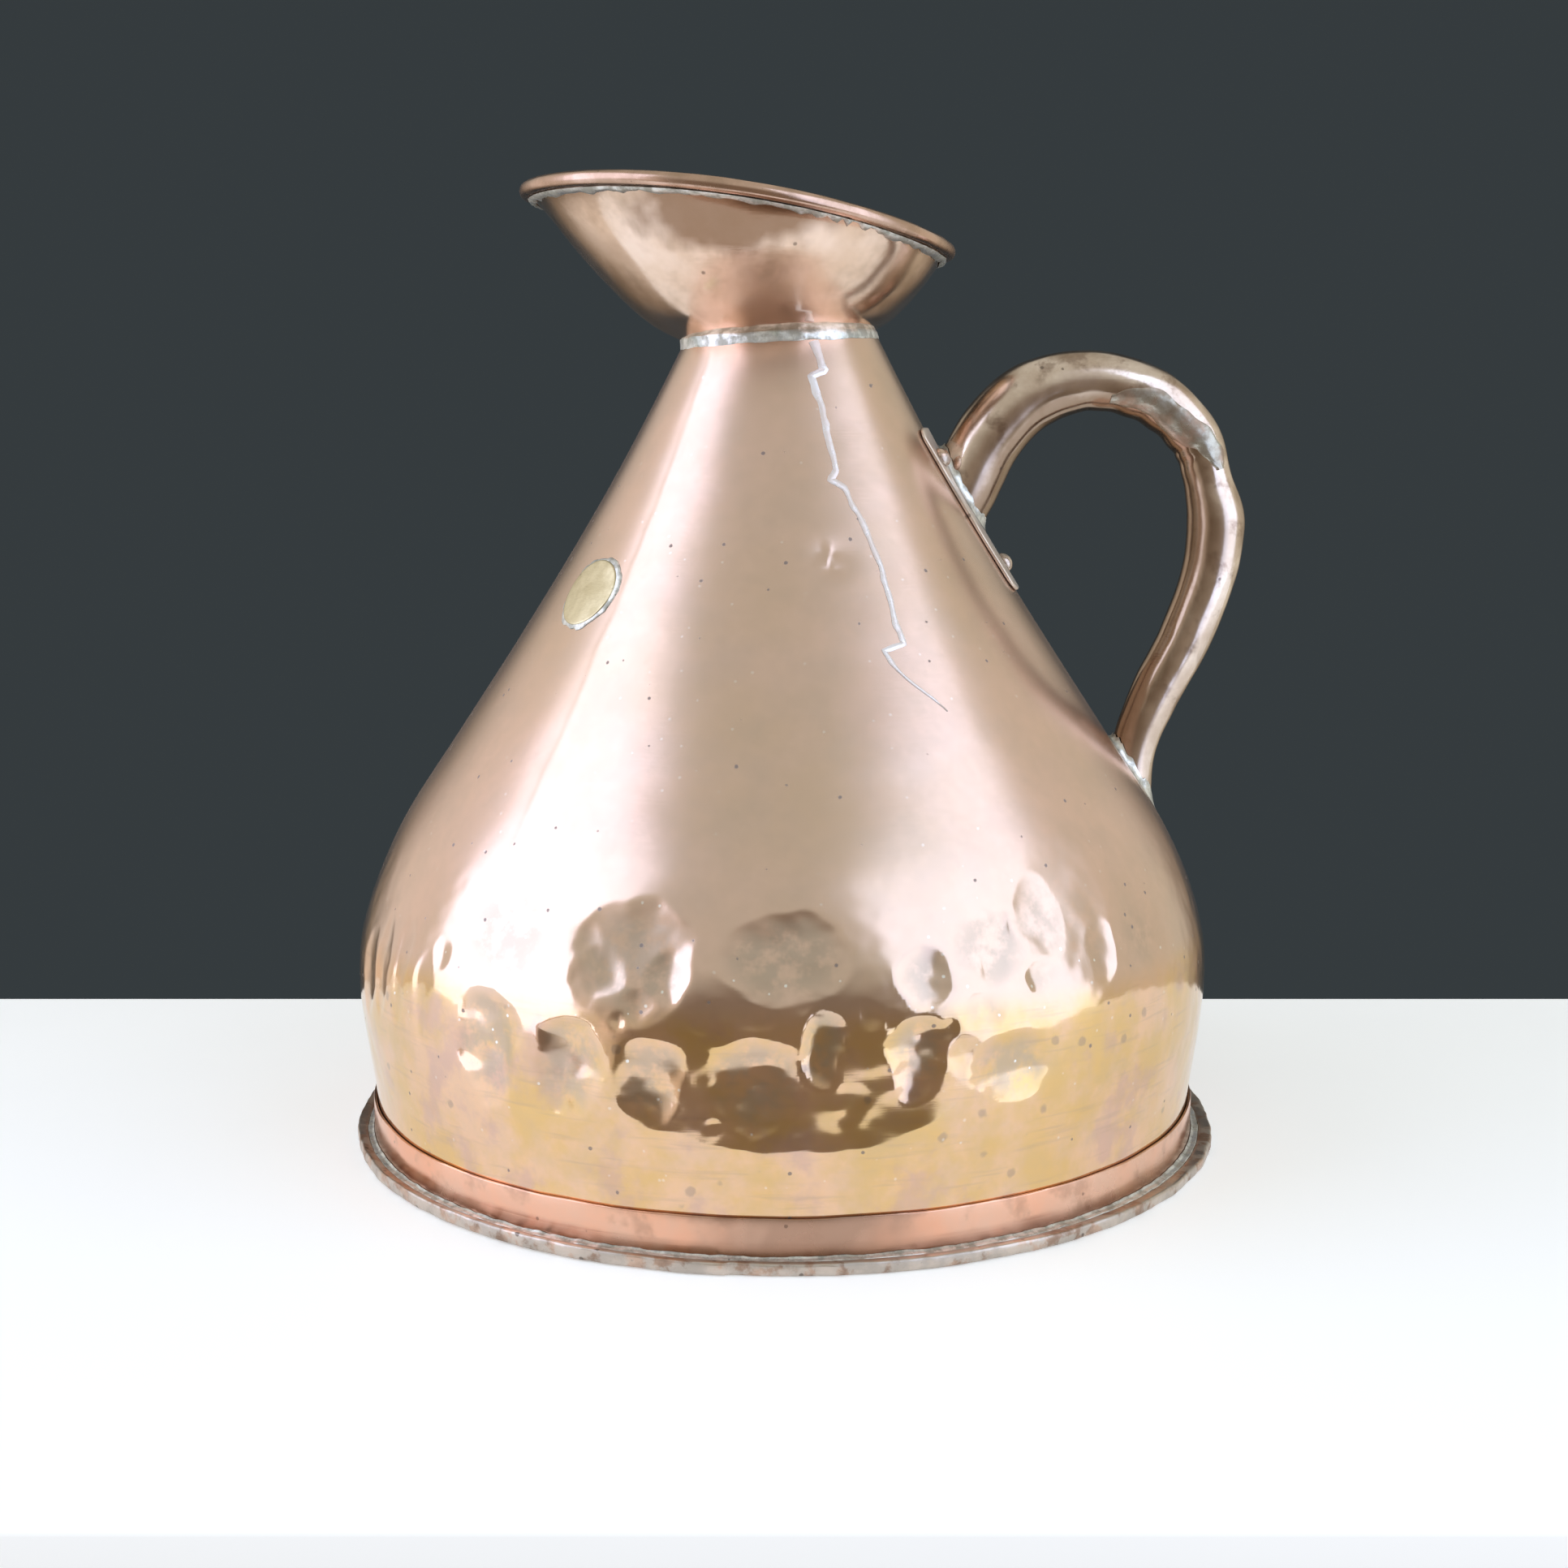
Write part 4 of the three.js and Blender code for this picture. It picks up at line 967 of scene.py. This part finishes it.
plate_edge = rounded_oblong(plate_wide / 2, plate_long / 2, plate_corner)
plate_rings = []
plate_profile = [(inset, gap) for inset in (0.02, 0.4, 0.8, 0.985)]
plate_profile += [(1.0, gap + 0.4), (1.0, plate_top - 0.45), (0.993, plate_top - 0.12)]
plate_profile += [(inset, plate_top) for inset in (0.975, 0.93, 0.8, 0.6, 0.4, 0.2, 0.02)]
for inset, out_by in plate_profile:
    u, v = plate_edge[:, 0] * inset, plate_edge[:, 1] * inset
    flat = np.stack([u, v, 0 * u], -1)
    plate_rings.append((u, v, out_by + (0.1 * ripple(flat, 12.0, 95) - 0.05) * (out_by > 1)))
plate = loft("handle_plate_copper", patch_on_body(0.0, plate_height, plate_rings), capped=True)
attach(plate, "root")
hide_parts("handle_plate")

# The plate's copper is pale and less metallic than the rest: partly a painted highlight along its edge.
plate_copper = worn_finish("plate copper", 0.6, (0.018, 0.14, (0.88, 0.74, 0.62), (0.66, 0.54, 0.43)), [
    (blotches(0.014, 0.06, -0.06), 0.6, (0.55, 0.54, 0.5)),
    (spots(0.007, 0.15, 0.3, 10.0), 0.6, (0.1, 0.07, 0.05))], (0.3, 0.4), (0.01, 0.0009, 0.15, 0.5))
plate.data.materials.append(plate_copper)


# Rivets: three copper rivets through plate and body, hammered over by hand into low
# domes, each a little different, and flattened inside.
head_radius, head_height, shank_radius, tail_radius, upset = 4.2, 3.0, 2.2, 3.6, 1.6
plate_slope = float(outline_at(plate_height)[2])
upper_rivet = plate_height + plate_slope * (plate_long / 2 - 14)
lower_rivet = plate_height - plate_slope * (plate_long / 2 - 11)
upper_turn = asin(16.2 / body_radius(upper_rivet))
on_plate = plate_top + gap
rivet_tail = -body_wall - gap

rivet_copper = worn_finish("rivet copper", 0.92, (0.004, 0.14, (0.74, 0.54, 0.43), (0.42, 0.3, 0.22)), [
    (blotches(0.006, 0.08, -0.02), 0.5, (0.6, 0.58, 0.54))], (0.24, 0.42), (0.003, 0.001, 0.6, 1.6))

for seed, (node, azimuth, height) in enumerate((("rivet_upper_front", -upper_turn, upper_rivet),
                                                ("rivet_upper_back", upper_turn, upper_rivet),
                                                ("rivet_lower", 0.0, lower_rivet))):
    spin = np.arange(36) * 2 * pi / 36
    profile = [(0.3, rivet_tail - upset), (0.8 * tail_radius, rivet_tail - upset),
               (tail_radius, rivet_tail - 0.4), (tail_radius, rivet_tail), (shank_radius, rivet_tail),
               (shank_radius, on_plate - 0.2), (0.97 * head_radius, on_plate - 0.2),
               (head_radius, on_plate + 0.2)]
    for share in (0.97, 0.9, 0.78, 0.62, 0.44, 0.24, 0.08):
        profile.append((head_radius * share, on_plate + head_height * (1 - share**2.4)**0.62))
    rings = []
    for r, out_by in profile:
        knock = 1 + 0.06 * np.sin(3 * spin + seed * 1.9) + 0.035 * np.sin(7 * spin + seed)
        facet = 0.25 * np.sin(2 * spin + seed) * np.clip((out_by - on_plate) / 3, 0, 1)
        if out_by < on_plate - 0.3:
            knock, facet = 1, 0
        rings.append((r * np.cos(spin) * np.minimum(knock, 1.0), r * np.sin(spin) * np.minimum(knock, 1.0),
                      out_by - np.abs(facet) * r / head_radius))
    rivet = loft(node + "_head", patch_on_body(azimuth, height, rings), capped=True)
    rivet.data.materials.append(rivet_copper)
    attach(rivet, "root")
    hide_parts(node)


# Solder collars: run round both ends of the handle and drawn out into a hollow fillet
# between the tube and what carries it.
def solder_collar(name, surface, low, high, node, seed):
    angles = np.arange(72) * 2 * pi / 72
    corner = tube_meets(angles, surface, 0.1, low, high)
    top = tube_meets(angles, surface + 3.6, 0.1, low, high)
    wide = tube_meets(angles, surface, 3.0, low, high)
    foot = on_tube(corner, angles, 0.1)
    crest = on_tube(top, angles, 0.1)
    spread = on_tube(wide, angles, 3.0)
    unevenness = ripple(foot, 5.0, seed) + 0.5 * ripple(foot, 2.2, seed + 1)
    spread = foot + (spread - foot) * (0.75 + 0.35 * unevenness)[:, None]
    crest = foot + (crest - foot) * (0.72 + 0.4 * unevenness)[:, None]
    hollow = foot + 0.22 * (spread - foot) + 0.22 * (crest - foot)
    rows = [bowed(spread, hollow, crest, t) for t in np.linspace(0, 1, 9)]
    collar = loft(name, np.array([*rows, foot]), closed=True)
    collar.data.materials.append(solder)
    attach(collar, "root")
    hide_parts(node)


solder_collar("root_collar", plate_top + 0.05, 0.0, 0.3, "handle_top_solder", 101)
solder_collar("foot_collar", 0.05, 1.0, 0.75, "handle_foot_solder", 103)


# Disc: a plain round of brass sheet, soldered on the shoulder of the cone in a ring of
# solder that has run out unevenly from under it.
disc_radius, disc_thickness, disc_azimuth, disc_height = 14.2, 0.9, radians(-142), 228.0
spin = np.arange(96) * 2 * pi / 96
disc_rings, disc_top = [], gap + disc_thickness
disc_profile = [(0.03, gap), (0.5, gap), (0.97, gap), (1.0, gap + 0.25)]
disc_profile += [(1.0, disc_top - 0.25), (0.985, disc_top - 0.05)]
disc_profile += [(share, disc_top) for share in (0.95, 0.75, 0.5, 0.25, 0.03)]
for share, out_by in disc_profile:
    u, v = disc_radius * share * np.cos(spin), disc_radius * share * np.sin(spin)
    worn = 0.12 * ripple(np.stack([u, v, 0 * u], -1), 6.0, 97) - 0.06
    disc_rings.append((u, v, out_by + worn * (out_by > 0.8)))
disc = loft("disc", patch_on_body(disc_azimuth, disc_height, disc_rings), capped=True)
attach(disc, "root")
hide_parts("brass_disc")

disc_brass = worn_finish("disc brass", 0.9, (0.009, 0.14, (0.8, 0.71, 0.48), (0.62, 0.53, 0.32)), [
    (spots(0.0035, 0.2, 0.3, 12.0), 0.5, (0.25, 0.2, 0.12))], (0.3, 0.42), (0.004, 0.0006, 0.5, 1.0))
disc.data.materials.append(disc_brass)

ring_in, ring_out = disc_radius + 0.05, disc_radius + gap + 2.0
ring_rows = []
ring_flat = np.stack([ring_out * np.cos(spin), ring_out * np.sin(spin), 0 * spin], -1)
held_back = np.clip(0.5 + 1.2 * ripple(ring_flat, 6.0, 98) + 0.6 * ripple(ring_flat, 2.5, 99), 0, 1)
run_out = ring_out - 1.1 * held_back
for share, out_by in ((0.0, 0.05), (0.5, 0.05), (1.0, 0.05), (0.97, 0.2),
                      (0.75, 0.45), (0.45, 0.62), (0.2, 0.7), (0.0, 0.75)):
    radius = ring_in + (run_out - ring_in) * share
    lumps = 0.12 * ripple(ring_flat + [0, 0, 3 * out_by], 3.0, 100) if out_by > 0.3 else 0
    ring_rows.append((radius * np.cos(spin), radius * np.sin(spin), out_by + lumps))
ring = loft("disc_solder_ring", patch_on_body(disc_azimuth, disc_height, ring_rows), closed=True)
ring.data.materials.append(solder)
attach(ring, "root")
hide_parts("disc_solder")


# Table: a plain pale painted top, narrow from front to back, with its edges
# rounded over. The jug stands loose on it.
table_front, table_back, table_half = -350.0, 186.0, 1250.0
edge_profile = softened([(table_back, 0), (table_back, -30), (table_front, -30), (table_front, 0)], 2.0)
table_ends = []
for x in (-table_half, -table_half / 3, table_half / 3, table_half):
    table_ends.append([(x, y, z) for y, z in edge_profile])
table = loft("table", np.array(table_ends), capped=True)
table_paint = worn_finish("table paint", 0.0, (0.2, 0.3, (0.83, 0.835, 0.83), (0.81, 0.815, 0.81)), [],
                          (0.5, 0.6), (0.01, 0.004, 0.05, 0.1))
tree = table_paint.node_tree
shader = tree.nodes["Principled BSDF"]
ray = add_node(tree, "ShaderNodeLightPath").outputs
seen = math(tree, "MAXIMUM", ray["Is Camera Ray"], math(tree, "MAXIMUM", ray["Is Glossy Ray"],
                                                       ray["Is Transmission Ray"]))
shader.inputs["Emission Color"].default_value = rgb(0.96, 0.99, 1.0)
tree.links.new(math(tree, "MULTIPLY", seen, 0.36), shader.inputs["Emission Strength"])
table.data.materials.append(table_paint)


# Room: a dark wall behind, a dim warm room in front that is lighter towards the
# ceiling, and a tall soft light on each side.
room = bpy.data.worlds.new("room")
bpy.context.scene.world = room
room.use_nodes = True
tree = room.node_tree
direction = add_node(tree, "ShaderNodeTexCoord").outputs["Generated"]
parts = add_node(tree, "ShaderNodeSeparateXYZ", {0: direction}).outputs
front = mixed(tree, ramp(tree, parts[2], 0.0, 0.5), rgb(0.24, 0.19, 0.135), rgb(0.6, 0.6, 0.53))
aside = math(tree, "ABSOLUTE", parts[0])
sides = mixed(tree, ramp(tree, parts[0], -0.2, 0.2), rgb(0.84, 0.78, 0.7), rgb(0.69, 0.66, 0.55))
front = mixed(tree, ramp(tree, aside, 0.5, 0.78), front, sides)
wall = math(tree, "MULTIPLY", ramp(tree, parts[1], 0.0, 0.3), ramp(tree, parts[2], 0.8, 0.65))
wall = math(tree, "MULTIPLY", wall, ramp(tree, aside, 0.55, 0.37))
colour = mixed(tree, wall, front, rgb(0.036, 0.044, 0.048))
tree.links.new(colour, tree.nodes["Background"].inputs["Color"])


def soft_light(name, azimuth, elevation, distance, wide, high, radiance, colour):
    lamp = bpy.data.lights.new(name, "AREA")
    lamp.shape, lamp.size, lamp.size_y = "RECTANGLE", wide, high
    lamp.energy = radiance * pi * wide * high
    lamp.color = colour
    light = bpy.data.objects.new(name, lamp)
    bpy.context.scene.collection.objects.link(light)
    target = Vector((0, 0, 0.15))
    a, e = radians(azimuth), radians(elevation)
    towards = Vector((cos(e) * cos(a), cos(e) * sin(a), sin(e)))
    light.location = target + towards * distance
    light.rotation_euler = towards.to_track_quat("Z", "Y").to_euler()
    light.visible_camera = False


soft_light("left_light", -165, 20, 2.0, 1.9, 2.3, 1.95, (0.6, 0.69, 1.0))
soft_light("right_light", -34, 16, 2.0, 2.1, 2.7, 1.65, (0.56, 0.69, 1.0))

frame_pixels, focal_pixels, looking_down = 1932, 2600, 9.52
view = bpy.data.cameras.new("camera")
view.sensor_width = 36.0
view.lens = view.sensor_width * focal_pixels / frame_pixels
view.shift_x = 0.001
camera = bpy.data.objects.new("camera", view)
camera.location = (0, -0.873, 0.290)
camera.rotation_euler = (radians(90 - looking_down), 0, 0)
bpy.context.scene.collection.objects.link(camera)
bpy.context.scene.camera = camera
bpy.context.scene.view_settings.view_transform = "Standard"
